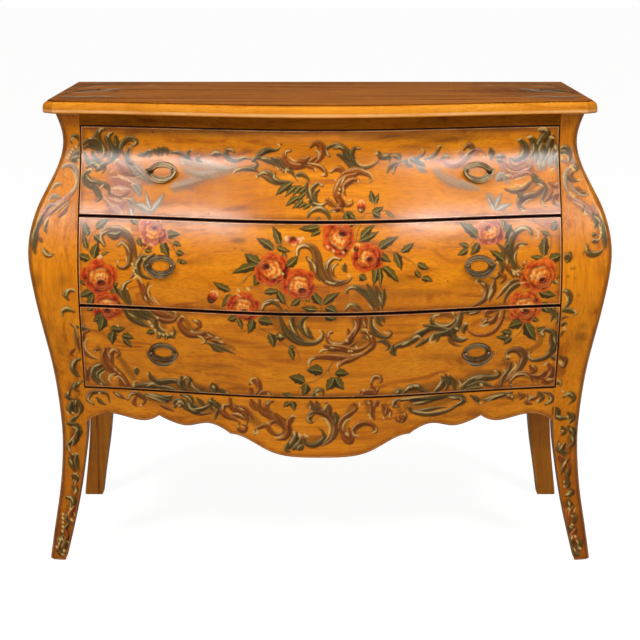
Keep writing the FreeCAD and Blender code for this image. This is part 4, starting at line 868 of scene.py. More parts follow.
postRight = placed(440, 0, {
    "mass": [
        (13,2,786,15,788,22,776), (16,18,706,42,690,60,672,74,650), (16,74,656,80,636,82,616),
        (13,6,300,8,284,15,280), (12,30,240,34,220,24,205), (15,30,112,38,82,34,50,46,26,48,12),
        (10,15,200,20,188,22,170),
    ],
    "stains": [
        (44,448,10,8,0.5), (47,470,9,6,0.35), (38,440,16,22,0.2), (75,575,8,14,0.3), (12,602,10,7,0.75),
        (22,580,5,2.4,0.6), (13,566,3,2.4,0.6), (27,562,2.4,2,0.5), (34,530,3,3,0.4), (60,500,12,18,0.2),
    ],
    "mauve": [(11,15,708,28,699,44,690,58,676,66,664), (8,57,690,65,682,69,672)],
    "slate": [
        (9,22,757,14,748,11,734,14,719,22,707), (5,17,738,23,722,34,711,47,707,56,713), (5,0,771,12,768,18,760),
        (7,22,775,26,768,31,762),
    ],
    "umber": [
        (9,26,748,20,741,26,735,37,733), (6,38,712,45,713,51,710), (6,44,690,43,682,48,676),
        (8,35,241,38,228,30,218), (8,10,231,12,215,33,207), (5,4,450,7,459,13,461), (5,2,483,9,489,17,488),
        (8,5,411,17,402,15,388,8,388), (7,31,196,22,182,15,164), (7,3,600,12,604,19,600),
    ],
    "olive": [
        (9,0,780,6,790,15,791,21,783,21,772,14,764), (8,4,784,11,784,17,780), (8,23,755,28,760,34,755,30,748),
        (13,68,672,76,656,80,636,82,615), (9,60,676,66,662,62,650), (7,64,640,60,639,58,636),
        (8,67,629,60,628,57,626), (11,47,621,50,609,59,605,70,607,78,613),
        (9,1,537,10,540,17,531,17,518,11,508,4,502), (9,2,500,12,502,22,500,30,496,26,490), (7,3,471,9,477,15,474),
        (8,1,352,9,356,12,346), (10,19,325,30,331,39,320,30,309), (14,2,302,8,292,6,280), (11,30,291,39,280,34,268),
        (9,6,286,16,281,31,279), (9,15,262,20,252,14,244), (10,28,262,38,248,34,232), (9,22,226,16,214,24,202),
        (8,25,123,38,129,32,138), (9,30,111,34,100,28,91), (8,22,152,30,145,26,136), (8,34,176,28,162,32,150),
        (10,34,85,42,78,36,70), (10,32,62,40,54,35,44), (10,38,48,35,32,44,20), (9,46,40,52,30,50,18),
        (9,38,24,44,14,52,10),
    ],
    "rust": [
        (9,12,200,20,194), (6,30,722,42,716), (7,18,110,24,100), (8,40,100,34,86,40,72), (7,44,58,38,46,46,34),
        (6,30,186,34,174),
    ],
    "cream": [
        (3,4,779,13,779,19,771,16,763), (2.2,2,789,10,795,18,792), (3.6,20,755,26,760,32,757), (3,33,734,46,735),
        (2.6,16,758,9,744,9,729,15,715), (2,34,711,47,708,56,714), (4.6,46,681,46,676,51,675),
        (3,63,672,71,665,76,655), (4.6,71,657,75,645,72,633,65,628), (2.6,46,623,47,612,52,606),
        (2.4,22,698,38,691,52,679), (2.2,69,690,78,668,84,648), (3,7,532,13,524,10,512), (3,6,540,14,538),
        (3.8,26,502,31,497,29,491), (3.4,3,360,10,357,12,348), (3,7,285,18,281), (4.4,15,254,19,252),
        (3,37,240,38,230), (3,11,230,12,220), (3,21,151,24,147), (3,22,142,24,138), (3,26,123,34,126),
        (3,31,110,33,102), (3,36,84,40,81), (3,33,64,37,60), (3,38,46,36,38), (3,21,326,30,331,37,325),
        (3,26,190,20,178), (2.6,46,38,50,30), (2.4,40,24,46,15), (2.4,30,260,37,250), (2.6,18,224,15,215),
        (2.6,44,98,40,88),
    ],
    # painted highlight along the arris
    "arris": [(26,800,33,782,38,762,48,735,61,701,73,676,83,652,88,625,88,598)],
    "dabs": [
        (6,773,6), (27,753,6), (20,711,5), (26,706,5), (12,465,6), (9,395,8), (17,336,5), (30,282,4), (32,96,4),
        (38,66,4), (44,44,4.4), (53,22,4),
    ],
})


legs = {"top": 278, "shift": 4.5, "sweep": 2.8, "sweepFrom": 230, "sweepTo": 90, "widen": 1.2}


def spread(plan, way):  # the leg marks follow the sweep of the leg outward
    for name, marks in plan.items():
        for mark in marks:
            places = pairs(name, mark)
            if mark[places[0] + 1] >= legs["top"]:
                continue
            for k in places:
                out = ease(legs["sweepFrom"], legs["sweepTo"], mark[k + 1])
                mark[k] += way * (legs["shift"] + legs["sweep"] * out)
            if places[0] and name != "cream":
                mark[0] *= legs["widen"]


spread(postLeft, -1)
spread(postRight, 1)
# dark washes under the foliage, stains, and patches of painted shade
weatheredAndShaded = placed(-420, 250, {
    "mass": [
        (30,8,142,16,122,20,102), (20,90,112,120,110,150,112,180,110,205,106), (18,180,122,195,110,220,104,250,102),
        (16,80,83,120,78,155,80,180,72), (16,180,85,195,68,220,62,245,72), (22,255,75,275,62,295,50,310,35),
        (20,320,72,340,50,360,35,370,20), (20,560,102,590,108,625,112,660,122,682,118),
        (20,675,112,705,128,740,134), (20,750,102,765,122,772,145,760,158), (16,780,130,810,122,828,110),
        (22,580,72,610,76,645,80,670,85), (12,710,76,740,84,780,80,810,82), (22,380,12,400,5,420,8,440,15),
        (16,400,80,420,68,440,50,444,25,430,8), (16,480,80,468,55,464,30,472,12), (12,480,20,495,40,515,40,522,25),
        (14,505,88,512,70,520,55), (12,540,80,545,62), (10,560,85,570,60), (20,440,190,470,196,500,212,515,230),
        (18,480,250,495,230,508,215), (22,90,255,110,240,135,228), (16,130,255,155,250,170,242),
        (16,176,242,188,225,215,212,240,202), (10,240,202,265,190), (22,336,258,348,235,370,220,400,220),
        (14,370,260,380,240,395,228), (14,550,195,580,208,610,220,635,230), (16,620,228,650,230,670,220),
        (12,640,255,660,250,675,235), (12,820,218,828,195,815,178,792,175), (14,48,162,58,145,70,125,82,102),
        (12,10,180,20,162,35,152),
    ],
    # the long thin patches on the lines between the drawers and above the apron are painted shade in the gaps; the
    # wide ones along the top of the upper drawer are partly stains and partly painted shadow under the top's
    # moulding; the rest are stains
    "stains": [
        (420,584,460,13,0.34), (170,572,150,9,0.26), (630,568,130,8,0.28), (750,310,90,9,0.22), (540,298,80,7,0.2),
        (540,570,80,6,0.34), (655,562,60,7,0.34), (730,579,55,4,0.34), (210,579,70,4,0.36), (360,580,60,4,0.28),
        (600,550,40,5,0.28), (90,572,28,4,0.25), (460,440,60,5,0.12), (273,391,13,5,0.62), (268,377,2,2,0.7),
        (281,375,2,2,0.7), (257,402,16,4,0.3), (560,321,34,10,0.32), (596,298,40,7,0.28), (150,390,14,4,0.3),
        (190,350,34,6,0.22), (664,390,30,5,0.22), (360,290,40,5,0.2), (480,405,30,4,0.25), (170,220,60,5,0.26),
        (220,152,50,7,0.3), (650,170,60,6,0.26), (380,202,46,5,0.22), (460,142,70,5,0.24), (70,226,24,8,0.28),
        (750,250,26,8,0.28), (310,230,30,4,0.25), (570,224,34,4,0.25), (410,250,50,4,0.25), (140,68,60,6,0.22),
        (690,50,60,6,0.22), (430,100,160,5,0.3), (230,50,40,5,0.2), (600,40,40,5,0.2), (160,102,90,4,0.28),
        (680,102,90,4,0.28), (650,262,90,3,0.3), (190,262,90,3,0.3), (420,266,120,3,0.25), (120,426,90,2.5,0.3),
        (720,426,90,2.5,0.3),
    ],
})
frontWork = (
    weatheredAndShaded, upperLeft, upperMiddle, upperRight, middleLeft, middleMiddle, middleRight,
    lowerLeft, lowerMiddle, lowerRight, apronLeft, apronMiddle, apronRight, postLeft, postRight,
)
front = newSheet(frontSheet)
for work in frontWork:
    paintAll(front, work)
print("stage: front painted,", sum(len(v) for w in frontWork for v in w.values()), "marks")

# ---- the two painted ends of the top, across and back from the middle of the chest

topSheet = newSheet({"left": -520.0, "bottom": -290.0, "wide": 1040.0, "tall": 590.0, "step": 1.6})
topFade = 0.72  # the top is the most worn
topEnd = placed(-500, -160, {
    "mass": [
        (46,30,400,70,422,120,428,180,422), (34,20,80,50,65,90,75,128,90), (34,30,200,45,245,70,280),
        (26,0,310,20,360,50,395),
    ],
    "veils": [
        ("slate",30,22,100,52,82,84,98,116,90), ("slate",26,38,180,60,226,80,264,108,290),
        ("slate",26,30,392,68,412,108,418),
    ],
    "slate": [
        (15,30,105,54,88,80,102,104,90,132,102), (13,56,180,80,220,96,268,120,306), (12,34,310,60,332,86,320),
        (11,144,330,170,342,194,332),
    ],
    "olive": [
        (17,20,64,48,52,76,68), (18,18,194,34,244,58,268,70,230), (16,24,382,50,414,80,400),
        (16,60,386,96,422,130,404), (15,108,392,148,422,184,406), (12,90,180,104,210,90,244),
        (13,0,140,14,168,8,200), (12,110,120,136,140,160,124), (13,14,290,26,336,50,360),
        (11,170,374,200,392,224,384), (10,154,100,178,110,200,98),
    ],
    "umber": [
        (13,88,360,116,338,148,358), (12,70,140,100,152,124,142), (11,0,250,12,280,24,264),
        (10,130,264,156,280,180,268), (10,60,10,90,20,116,8),
    ],
    "cream": [
        (5,82,252,96,272,106,268), (5,100,326,120,346,136,332), (4,30,172,46,192), (4,38,98,54,88),
        (4,90,102,104,94), (5,148,356,166,370), (4,38,400,60,414), (4,100,412,116,422), (4,54,328,70,334),
    ],
})
paintAll(topSheet, topEnd)
topSheet["colour"] = np.maximum(topSheet["colour"], topSheet["colour"][:, ::-1])
topSheet["cover"] = np.maximum(topSheet["cover"], topSheet["cover"][:, ::-1]) * topFade

# ---- the spray on each side, its across running from the front to the back of the chest

sideSheet = newSheet({"left": -240.0, "bottom": 380.0, "wide": 520.0, "tall": 420.0, "step": 1.2})


def withTwins(marks, middle=142):  # each stroke, then its mirror image about the middle of the panel
    for width, *line in marks:
        yield width, *line
        yield width, *(v if k % 2 else 2 * middle - v for k, v in enumerate(line))


sideSpray = placed(-130, 440, {
    "mass": [(22,70,250,110,266,160,262,200,244), (20,80,46,120,34,164,38,196,54)],
    "olive": [
        *withTwins([
            (13,18,200,8,228,26,256,58,260,74,242,60,228), (14,68,254,100,272,142,264,142,246),
            (12,38,80,26,58,46,34,74,38,80,54), (12,78,40,110,28,142,38), (9,46,266,38,284,52,294),
        ]),
        (9,142,272,134,288,142,300), (9,124,22,142,8,160,22),
    ],
    "umber": withTwins([(10,34,206,32,180,46,164), (9,44,84,38,106,50,120)]),
    "rust": withTwins([(9,64,228,86,236,100,224), (8,90,56,108,62,122,52)]),
    "stems": [(70,120,46,100,20,94), (214,126,240,112,266,108), (140,180,136,200,146,220), (140,106,146,84,136,68)],
    "leaves": [
        (78,152,46,170,20), (80,166,64,196,18), (206,156,238,172,20), (202,168,220,198,18), (64,120,32,122,18),
        (218,122,252,120,18), (100,94,78,72,17), (182,94,204,72,17), (134,90,118,66,16), (150,90,166,66,16),
        (134,194,110,212,17), (150,194,174,212,17), (30,96,8,86,12), (256,110,278,100,12), (18,94,0,104,11),
        (268,108,286,118,11), (144,216,132,232,12), (146,218,160,232,12),
    ],
    "buds": [(144,228,10,90,"red"), (4,94,9,185,"orange"), (282,108,9,-5,"orange")],
    "roses": [(104,132,30,100,126,"orange"), (182,136,29,188,140,"orange"), (142,164,33,136,170,"red")],
    "cream": withTwins([
        (3.6,16,204,8,228,22,250), (3.4,74,260,100,276,130,270), (3.2,36,76,26,58,40,40), (3,80,44,106,34,132,40),
        (2.8,44,268,38,282),
    ]),
    "dabs": [(70,236,5), (214,236,5), (142,304,5), (142,16,5), (82,56,4.4), (202,56,4.4)],
})
paintAll(sideSheet, sideSpray)
print("stage: top ends and sides painted")

# ---- paint films: fine sheets that lie a fraction of a millimetre over the wood

skins = {  # in metres, apart from how far the normals lean outward at the rim
    "step": 0.0013, "postStep": 0.0015, "broadStep": 0.002, "proud": 0.00030, "postProud": 0.00045,
    "tuck": 0.0011, "inset": 0.00035, "cutInset": 0.0006, "close": 0.0007, "rimLean": 0.9, "edgeLean": 0.35,
}
casting = {"front": 0.7, "side": 0.9, "top": 1.2, "outside": -1.0, "tries": 6}  # metres out to where the rays start
fields = {  # in metres, the two ends of the top and the middle of each side
    "topInner": 0.262, "topOuter": 0.512, "topDepth": (-0.262, 0.284),
    "sideDepth": (-0.152, 0.176), "sideHeight": (0.432, 0.758),
}
allEdges = ("left", "right", "low", "top")


class Host:  # the wood under a film, ready for casting on to
    def __init__(self, node):
        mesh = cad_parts[node].data
        mesh.calc_loop_triangles()
        count = len(mesh.vertices)
        flat = np.empty(count * 3, np.float32)
        mesh.vertices.foreach_get("co", flat)
        self.points = flat.reshape(-1, 3).astype(float)
        corners = np.empty(len(mesh.loop_triangles) * 3, np.int32)
        mesh.loop_triangles.foreach_get("vertices", corners)
        self.corners = corners.reshape(-1, 3)
        loops = np.empty(len(mesh.loop_triangles) * 3, np.int32)
        mesh.loop_triangles.foreach_get("loops", loops)
        normals = np.empty(len(mesh.loops) * 3, np.float32)
        mesh.corner_normals.foreach_get("vector", normals)
        self.normals = normals.reshape(-1, 3)[loops].reshape(-1, 3, 3).astype(float)
        self.tree = BVHTree.FromPolygons([Vector(p) for p in self.points], self.corners.tolist())
        self.low, self.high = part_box(node)

    def hits(self, x, z):
        return self.tree.ray_cast(Vector((x, casting["outside"], z)), Vector((0, 1, 0)))[0] is not None

    def cast(self, starts, way):
        places = np.zeros((len(starts), 3))
        faces = np.zeros(len(starts), int)
        heading = Vector(way)
        missed = 0
        for i, start in enumerate(starts.tolist()):
            spot, _, face, _ = self.tree.ray_cast(Vector(start), heading)
            if spot is None:
                missed += 1
                spot, _, face, _ = self.tree.find_nearest(Vector(start) + heading * casting["front"])
            places[i] = spot
            faces[i] = face
        tri = self.points[self.corners[faces]]
        e0, e1, e2 = tri[:, 1] - tri[:, 0], tri[:, 2] - tri[:, 0], places - tri[:, 0]
        d00, d01, d11 = (e0 * e0).sum(1), (e0 * e1).sum(1), (e1 * e1).sum(1)
        d20, d21 = (e2 * e0).sum(1), (e2 * e1).sum(1)
        base = np.maximum(d00 * d11 - d01 * d01, 1e-20)
        v = np.clip((d11 * d20 - d01 * d21) / base, 0, 1)
        w = np.clip((d00 * d21 - d01 * d20) / base, 0, 1)
        own = self.normals[faces]
        normal = own[:, 0] * (1 - v - w)[:, None] + own[:, 1] * v[:, None] + own[:, 2] * w[:, None]
        normal /= np.maximum(np.linalg.norm(normal, axis=1), 1e-9)[:, None]
        return places, normal, missed


def sheetColour(sheet, across, up):  # between the painter's points
    plan = sheet["plan"]
    rows, cols = sheet["cover"].shape
    a = np.clip((across - plan["left"]) / plan["step"], 0, cols - 1.001)
    b = np.clip((up - plan["bottom"]) / plan["step"], 0, rows - 1.001)
    i, j = a.astype(int), b.astype(int)
    fa, fb = a - i, b - j
    cover = sheet["cover"]
    wet = sheet["colour"] * cover[..., None]
    parts = (
        (j, i, (1 - fb) * (1 - fa)), (j, i + 1, (1 - fb) * fa),
        (j + 1, i, fb * (1 - fa)), (j + 1, i + 1, fb * fa),
    )
    thick = sum(cover[r, c] * k for r, c, k in parts)
    tint = sum(wet[r, c] * k[:, None] for r, c, k in parts)
    return tint / np.maximum(thick, 1e-5)[:, None], thick


def ringed(low, high, step, inset):  # even stations, with two close ones at each end for the turned-back rim
    count = max(4, int((high - low) / step))
    inner = np.linspace(low + inset + skins["close"], high - inset - skins["close"], count)
    return np.concatenate([[low + inset], inner, [high - inset]])


def gridMesh(name, rows, cols):  # a plain grid, and the column and row of each of its points
    flesh = bmesh.new()
    bmesh.ops.create_grid(flesh, x_segments=cols - 1, y_segments=rows - 1, size=1)
    mesh = bpy.data.meshes.new(name)
    flesh.to_mesh(mesh)
    flesh.free()
    unit = np.empty(rows * cols * 3, np.float32)
    mesh.vertices.foreach_get("co", unit)
    unit = unit.reshape(-1, 3)
    i = np.rint((unit[:, 0] + 1) / 2 * (cols - 1)).astype(int)
    j = np.rint((unit[:, 1] + 1) / 2 * (rows - 1)).astype(int)
    return mesh, i, j


def rayStarts(across, up, way):
    count = len(across)
    if way[1]:
        return np.stack([across, np.full(count, -casting["front"]), up], 1)
    if way[0]:
        return np.stack([np.full(count, -way[0] * casting["side"]), across, up], 1)
    return np.stack([across, up, np.full(count, casting["top"])], 1)


def film(name, host, stations, lines, sheet, material, body, proud, way=(0, 1, 0), free=()):
    # stations and lines are the across and up of every grid point, in metres; a free edge shows none of the aged
    # glaze, painted arris highlight and painted gap shade
    rows, cols = stations.shape
    count = rows * cols
    mesh, i, j = gridMesh(name, rows, cols)
    across, up = stations[j, i], lines[j, i]
    places, normals, missed = host.cast(rayStarts(across, up, way), way)
    ring = (i == 0) | (i == cols - 1) | (j == 0) | (j == rows - 1)
    out = np.where(ring, -skins["tuck"], proud)[:, None]
    outward = np.zeros((count, 3))
    sideAxis, upAxis = (0, 2) if way[1] else ((1, 2) if way[0] else (0, 1))
    outward[:, sideAxis] += np.where(i <= 1, -1.0, 0) + np.where(i >= cols - 2, 1.0, 0)
    outward[:, upAxis] += np.where(j <= 1, -1.0, 0) + np.where(j >= rows - 2, 1.0, 0)
    lean = np.where(ring, skins["rimLean"], skins["edgeLean"])[:, None]
    places = places + normals * out
    shade = normals + outward * lean
    shade /= np.linalg.norm(shade, axis=1)[:, None]
    mesh.vertices.foreach_set("co", places.astype(np.float32).ravel())
    mesh.update()
    face = np.empty(len(mesh.polygons) * 3, np.float32)
    mesh.polygons.foreach_get("normal", face)
    if (face.reshape(-1, 3).mean(0) * np.array(way)).sum() > 0:
        mesh.flip_normals()
    tint, thick = sheetColour(sheet, across * 1000, up * 1000)
    paint = np.ones((count, 4), np.float32)
    paint[:, :3] = tint
    paint[:, 3] = thick
    layer = mesh.color_attributes.new("paint", "FLOAT_COLOR", "POINT")
    layer.data.foreach_set("color", paint.ravel())
    gap = np.full(count, 50.0)  # in millimetres, past the aged glaze, the painted arris highlight and the painted gap shade
    reaches = (across - stations[j, 0], stations[j, -1] - across, up - lines[0, i], lines[-1, i] - up)
    for side, reach in zip(allEdges, reaches):
        if side not in free:
            gap = np.minimum(gap, reach * 1000)
    rim = mesh.attributes.new("rim", "FLOAT", "POINT")
    rim.data.foreach_set("value", gap.astype(np.float32))
    mesh.shade_smooth()
    mesh.normals_split_custom_set_from_vertices([tuple(n) for n in shade.tolist()])
    mesh.materials.append(material)
    piece = bpy.data.objects.new(name, mesh)
    scene.collection.objects.link(piece)
    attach(piece, body)
    print("film", name, len(mesh.polygons) * 2, "triangles,", missed, "missed")


def drawerFilm(name, node, body, material):
    host = Host(node)
    x = ringed(host.low.x, host.high.x, skins["step"], skins["inset"])
    z = ringed(host.low.z, host.high.z, skins["step"], skins["inset"])
    film(name, host, *np.meshgrid(x, z), front, material, body, skins["proud"])


def broadFilm(name, node, across, up, sheet, material, way):
    grid = np.meshgrid(*(ringed(*ends, skins["broadStep"], 0.0) for ends in (across, up)))
    film(name, Host(node), *grid, sheet, material, "carcase", skins["proud"], way, allEdges)


def lastHit(good, bad, meets):  # closes in on the edge of the wood, between a place on it and one off it
    for _ in range(casting["tries"]):
        middle = (good + bad) / 2
        if meets(middle):
            good = middle
        else:
            bad = middle
    return good


def apronFilm(name, node, material):
    host = Host(node)
    x = ringed(host.low.x, host.high.x, skins["postStep"], skins["cutInset"])
    stride = 0.004
    bottoms = []
    for place in x:
        good = host.high.z - stride
        while host.hits(place, good - stride):
            good -= stride
        bottoms.append(lastHit(good, good - stride, lambda z: host.hits(place, z)) + 0.0002)
    bottoms = np.array(bottoms)
    share = ringed(0, 0.1, skins["postStep"], skins["inset"]) / 0.1
    stations = np.tile(x, (len(share), 1))
    lines = bottoms[None, :] + share[:, None] * (host.high.z - skins["inset"] - bottoms)[None, :]
    film(name, host, stations, lines, front, material, "carcase", skins["proud"], free=("left", "right", "top"))


def postFilm(name, node, material):
    host = Host(node)
    z = ringed(host.low.z, host.high.z, skins["postStep"], skins["cutInset"])
    scan = np.arange(host.low.x + 0.0005, host.high.x, 0.002)
    ends = []
    for height in z:
        seen = [place for place in scan if host.hits(place, height)]
        ends.append([
            lastHit(good, good + way * 0.0025, lambda x: host.hits(x, height)) - way * 0.0003
            for good, way in ((seen[0], -1), (seen[-1], 1))
        ])
    ends = np.array(ends)
    share = ringed(0, 0.06, skins["postStep"], skins["inset"]) / 0.06
    stations = ends[:, :1] + share[None, :] * (ends[:, 1:] - ends[:, :1])
    lines = np.tile(z[:, None], (1, len(share)))
    inner = "right" if host.low.x < 0 else "left"
    film(name, host, stations, lines, front, material, "carcase", skins["postProud"], free=(inner,))


# ---- materials


def newNode(tree, kind, inputs=None, **settings):
    node = tree.nodes.new(kind)
    for name, value in settings.items():
        setattr(node, name, value)
    for socket, value in (inputs or {}).items():
        if isinstance(value, bpy.types.NodeSocket):
            tree.links.new(value, node.inputs[socket])
        else:
            node.inputs[socket].default_value = value
    return node


def maths(tree, operation, a, b=0.0):
    return newNode(tree, "ShaderNodeMath", {0: a, 1: b}, operation=operation).outputs[0]


def times(tree, a, b):
    return maths(tree, "MULTIPLY", a, b)


def plus(tree, a, b):
    return maths(tree, "ADD", a, b)


def blendColour(tree, factor, a, b):
    mix = newNode(tree, "ShaderNodeMix", {0: factor, 6: a, 7: b}, data_type="RGBA", clamp_factor=True)
    return mix.outputs[2]


def between(tree, value, low, high, outLow=0.0, outHigh=1.0):
    inputs = {0: value, 1: low, 2: high, 3: outLow, 4: outHigh}
    return newNode(tree, "ShaderNodeMapRange", inputs, clamp=True).outputs[0]


def band(tree, value, rise, fall):  # 1 where the value has passed rise and not yet reached fall
    return times(tree, between(tree, value, *rise), between(tree, value, *fall))


def noise(tree, vector, scale, detail, rough=0.55, bend=0.0):
    inputs = {"Vector": vector, "Scale": scale, "Detail": detail, "Roughness": rough, "Distortion": bend}
    return newNode(tree, "ShaderNodeTexNoise", inputs).outputs["Fac"]


def axis(tree, vector, number):
    return newNode(tree, "ShaderNodeSeparateXYZ", {0: vector}).outputs[number]


def ownPlace(tree):
    return newNode(tree, "ShaderNodeTexCoord").outputs["Object"]


def carried(tree, name):  # what the painted films carry at each point
    return newNode(tree, "ShaderNodeAttribute", attribute_name=name, attribute_type="GEOMETRY")


def newGroup(name, sockets):
    group = bpy.data.node_groups.new(name, "ShaderNodeTree")
    for way, labels in sockets.items():
        for label, kind in labels.items():
            group.interface.new_socket(label, in_out=way, socket_type="NodeSocket" + kind)
    return group, group.nodes.new("NodeGroupInput"), group.nodes.new("NodeGroupOutput")


origin = (0, 0, 0)
grain = {  # stretch along and across the grain, turn, then the noise's scale, detail, roughness and bend
    "broad": ((1.1, 3.6, 3.6), origin, (2.2, 3, 0.5, 0.7)),
    "figure": ((0.55, 13, 13), origin, (3.4, 5, 0.60, 0.9)),
    "fibre": ((5, 170, 170), origin, (2.0, 3, 0.6)),
    "ripple": ((26, 5, 5), (0, 0.5, 0.6), (2.2, 2, 0.5, 0.6)),
}
wormholes = {"scale": 30.0, "share": 0.80, "size": (0.03, 0.10), "strength": 0.62, "colour": (0.045, 0.010, 0.003, 1)}


def woodGroup():  # grain runs along the vector's x
    group, given, result = newGroup("woodGrain", {
        "INPUT": {"Vector": "Vector", "Dark": "Color", "Body": "Color", "Light": "Color", "Marks": "Float"},
        "OUTPUT": {"Color": "Color", "Roughness": "Float", "Height": "Float"},
    })
    place, dark, body, light, strength = given.outputs[:5]
    broad, figure, fibre, ripple = (
        noise(group, newNode(group, "ShaderNodeMapping", {0: place, 2: turn, 3: stretch}).outputs[0], *kind)
        for stretch, turn, kind in grain.values()
    )
    tone = blendColour(group, times(group, between(group, figure, 0.48, 0.26), 0.62), body, light)
    tone = blendColour(group, times(group, between(group, figure, 0.54, 0.68), 0.84), tone, dark)
    tone = blendColour(group, between(group, broad, 0.50, 0.76, 0, 0.66), tone, dark)
    tone = blendColour(group, between(group, ripple, 0.50, 0.72, 0, 0.16), tone, light)
    tone = blendColour(group, between(group, fibre, 0.46, 0.70, 0, 0.42), tone, dark)
    cells = {"Vector": place, "Scale": wormholes["scale"], "Randomness": 1.0}
    specks = newNode(group, "ShaderNodeTexVoronoi", cells)
    lot = newNode(group, "ShaderNodeSeparateColor", {0: specks.outputs["Color"]}).outputs[0]
    kept = maths(group, "GREATER_THAN", lot, wormholes["share"])
    size = between(group, noise(group, place, 160, 2), 0.3, 0.7, *wormholes["size"])
    dot = times(group, maths(group, "LESS_THAN", specks.outputs["Distance"], size), kept)
    worm = between(group, noise(group, place, 75, 5, 0.7, 2.5), 0.70, 0.76)
    patch = between(group, noise(group, place, 6, 2), 0.52, 0.66)
    marks = times(group, maths(group, "MAXIMUM", dot, times(group, worm, patch)), strength)
    tone = blendColour(group, times(group, marks, wormholes["strength"]), tone, wormholes["colour"])
    dull = between(group, plus(group, figure, times(group, fibre, 0.5)), 0.5, 1.0)
    low = maths(group, "SUBTRACT", times(group, fibre, 0.6), times(group, marks, 0.8))
    height = plus(group, low, times(group, figure, 0.4))
    for label, value in (("Color", tone), ("Roughness", dull), ("Height", height)):
        group.links.new(value, result.inputs[label])
    return group


woodGrain = woodGroup()


def grained(tree, along, tones, marks):  # along is a place whose x runs with the grain
    node = newNode(tree, "ShaderNodeGroup", node_tree=woodGrain)
    tree.links.new(along, node.inputs["Vector"])
    for label in ("Dark", "Body", "Light"):
        node.inputs[label].default_value = tones[label.lower()]
    node.inputs["Marks"].default_value = marks
    return node.outputs


def material(name):
    made = bpy.data.materials.new(name)
    made.use_nodes = True
    tree = made.node_tree
    tree.nodes.clear()
    shader = newNode(tree, "ShaderNodeBsdfPrincipled")
    tree.links.new(shader.outputs[0], newNode(tree, "ShaderNodeOutputMaterial").inputs[0])
    return made, tree, shader


def finish(tree, shader, colour, roughness, bump):  # bump is its strength, its depth in metres and its height
    tree.links.new(colour, shader.inputs["Base Color"])
    tree.links.new(roughness, shader.inputs["Roughness"])
    relief = newNode(tree, "ShaderNodeBump", dict(zip(("Strength", "Distance", "Height"), bump)))
    tree.links.new(relief.outputs[0], shader.inputs["Normal"])


# the sheen band is a painted highlight: light reflected low on the rounded edge, put into its colour
moulding = {  # heights above the floor, in metres, of what the edge of the top shows
    "edge": (0.8782, 0.8776), "ledge": ((0.8774, 0.8779), (0.8798, 0.8794)), "ledgeColour": (0.07, 0.014, 0.002, 1),
    "sheen": ((0.8580, 0.8605), (0.8650, 0.8625)), "paintedSheenColour": (0.84, 0.50, 0.24, 1),
}
mouldingTones = {"dark": (0.40, 0.115, 0.005, 1), "body": (0.66, 0.235, 0.015, 1), "light": (0.80, 0.34, 0.035, 1)}


def mouldingColour(tree, spot, along, colour):  # the rounded edge below the field keeps the honey colour
    height = axis(tree, spot, 2)
    bright = grained(tree, along, mouldingTones, 0.3)["Color"]
    colour = blendColour(tree, between(tree, height, *moulding["edge"]), colour, bright)
    # painted highlight: a pale band low on the moulding, where light is reflected
    sheen = band(tree, height, *moulding["sheen"])
    sheen = times(tree, sheen, between(tree, noise(tree, spot, 7, 3), 0.35, 0.62, 0.25, 0.60))
    colour = blendColour(tree, sheen, colour, moulding["paintedSheenColour"])
    ledge = band(tree, height, *moulding["ledge"])
    return blendColour(tree, times(tree, ledge, 0.65), colour, moulding["ledgeColour"])


# the darkening further in is aged glaze; the band a few millimetres in is a painted highlight where light catches the
# arris, and the thin dark line at the very edge is painted shade beside the gap
edgeWearAndLight = {  # in millimetres from the edge of a painted face
    "aged": (-7.5, 4.5, 0.74, 0.0), "wander": -16.0, "arrisHighlight": ((3.2, 2.2), (1.3, 1.9)),
    "arrisHighlightColour": (0.80, 0.42, 0.17, 1), "line": (1.5, 0.9), "gapShadeColour": (0.030, 0.003, 0.002, 1),
}


def paintedColour(tree, spot, colour, glaze):  # aged toward the edges, then the ornament, then a painted highlight on the arris and a thin line of painted shade at the very edge
    rim = carried(tree, "rim").outputs["Fac"]
    aged = plus(tree, rim, times(tree, noise(tree, spot, 34, 4, 0.6), edgeWearAndLight["wander"]))
    colour = blendColour(tree, between(tree, aged, *edgeWearAndLight["aged"]), colour, glaze)
    paint = carried(tree, "paint").outputs
    wear = between(tree, noise(tree, spot, 120, 4, 0.65), 0.66, 0.74, 1.0, 0.45)
    cover = times(tree, paint["Alpha"], wear)
    mottle = between(tree, noise(tree, spot, 260, 3, 0.6), 0.35, 0.68, 0.78, 1.12)
    grey = newNode(tree, "ShaderNodeCombineXYZ", {0: mottle, 1: mottle, 2: mottle}).outputs[0]
    brushed = newNode(tree, "ShaderNodeVectorMath", {0: paint["Color"], 1: grey}, operation="MULTIPLY")
    colour = blendColour(tree, cover, colour, brushed.outputs[0])
    # painted highlight along the arris
    arrisHighlight = band(tree, rim, *edgeWearAndLight["arrisHighlight"])
    arrisHighlight = times(tree, arrisHighlight, between(tree, noise(tree, spot, 26, 4, 0.7), 0.36, 0.54, 0.15, 0.62))
    colour = blendColour(tree, arrisHighlight, colour, edgeWearAndLight["arrisHighlightColour"])
    # painted shade: a thin dark line at the very edge, beside the gap
    return blendColour(tree, between(tree, rim, *edgeWearAndLight["line"]), colour, edgeWearAndLight["gapShadeColour"]), cover


# painted shade: near black that stands for the dark inside the gaps
gapShade = (0.018, 0.003, 0.002, 1)


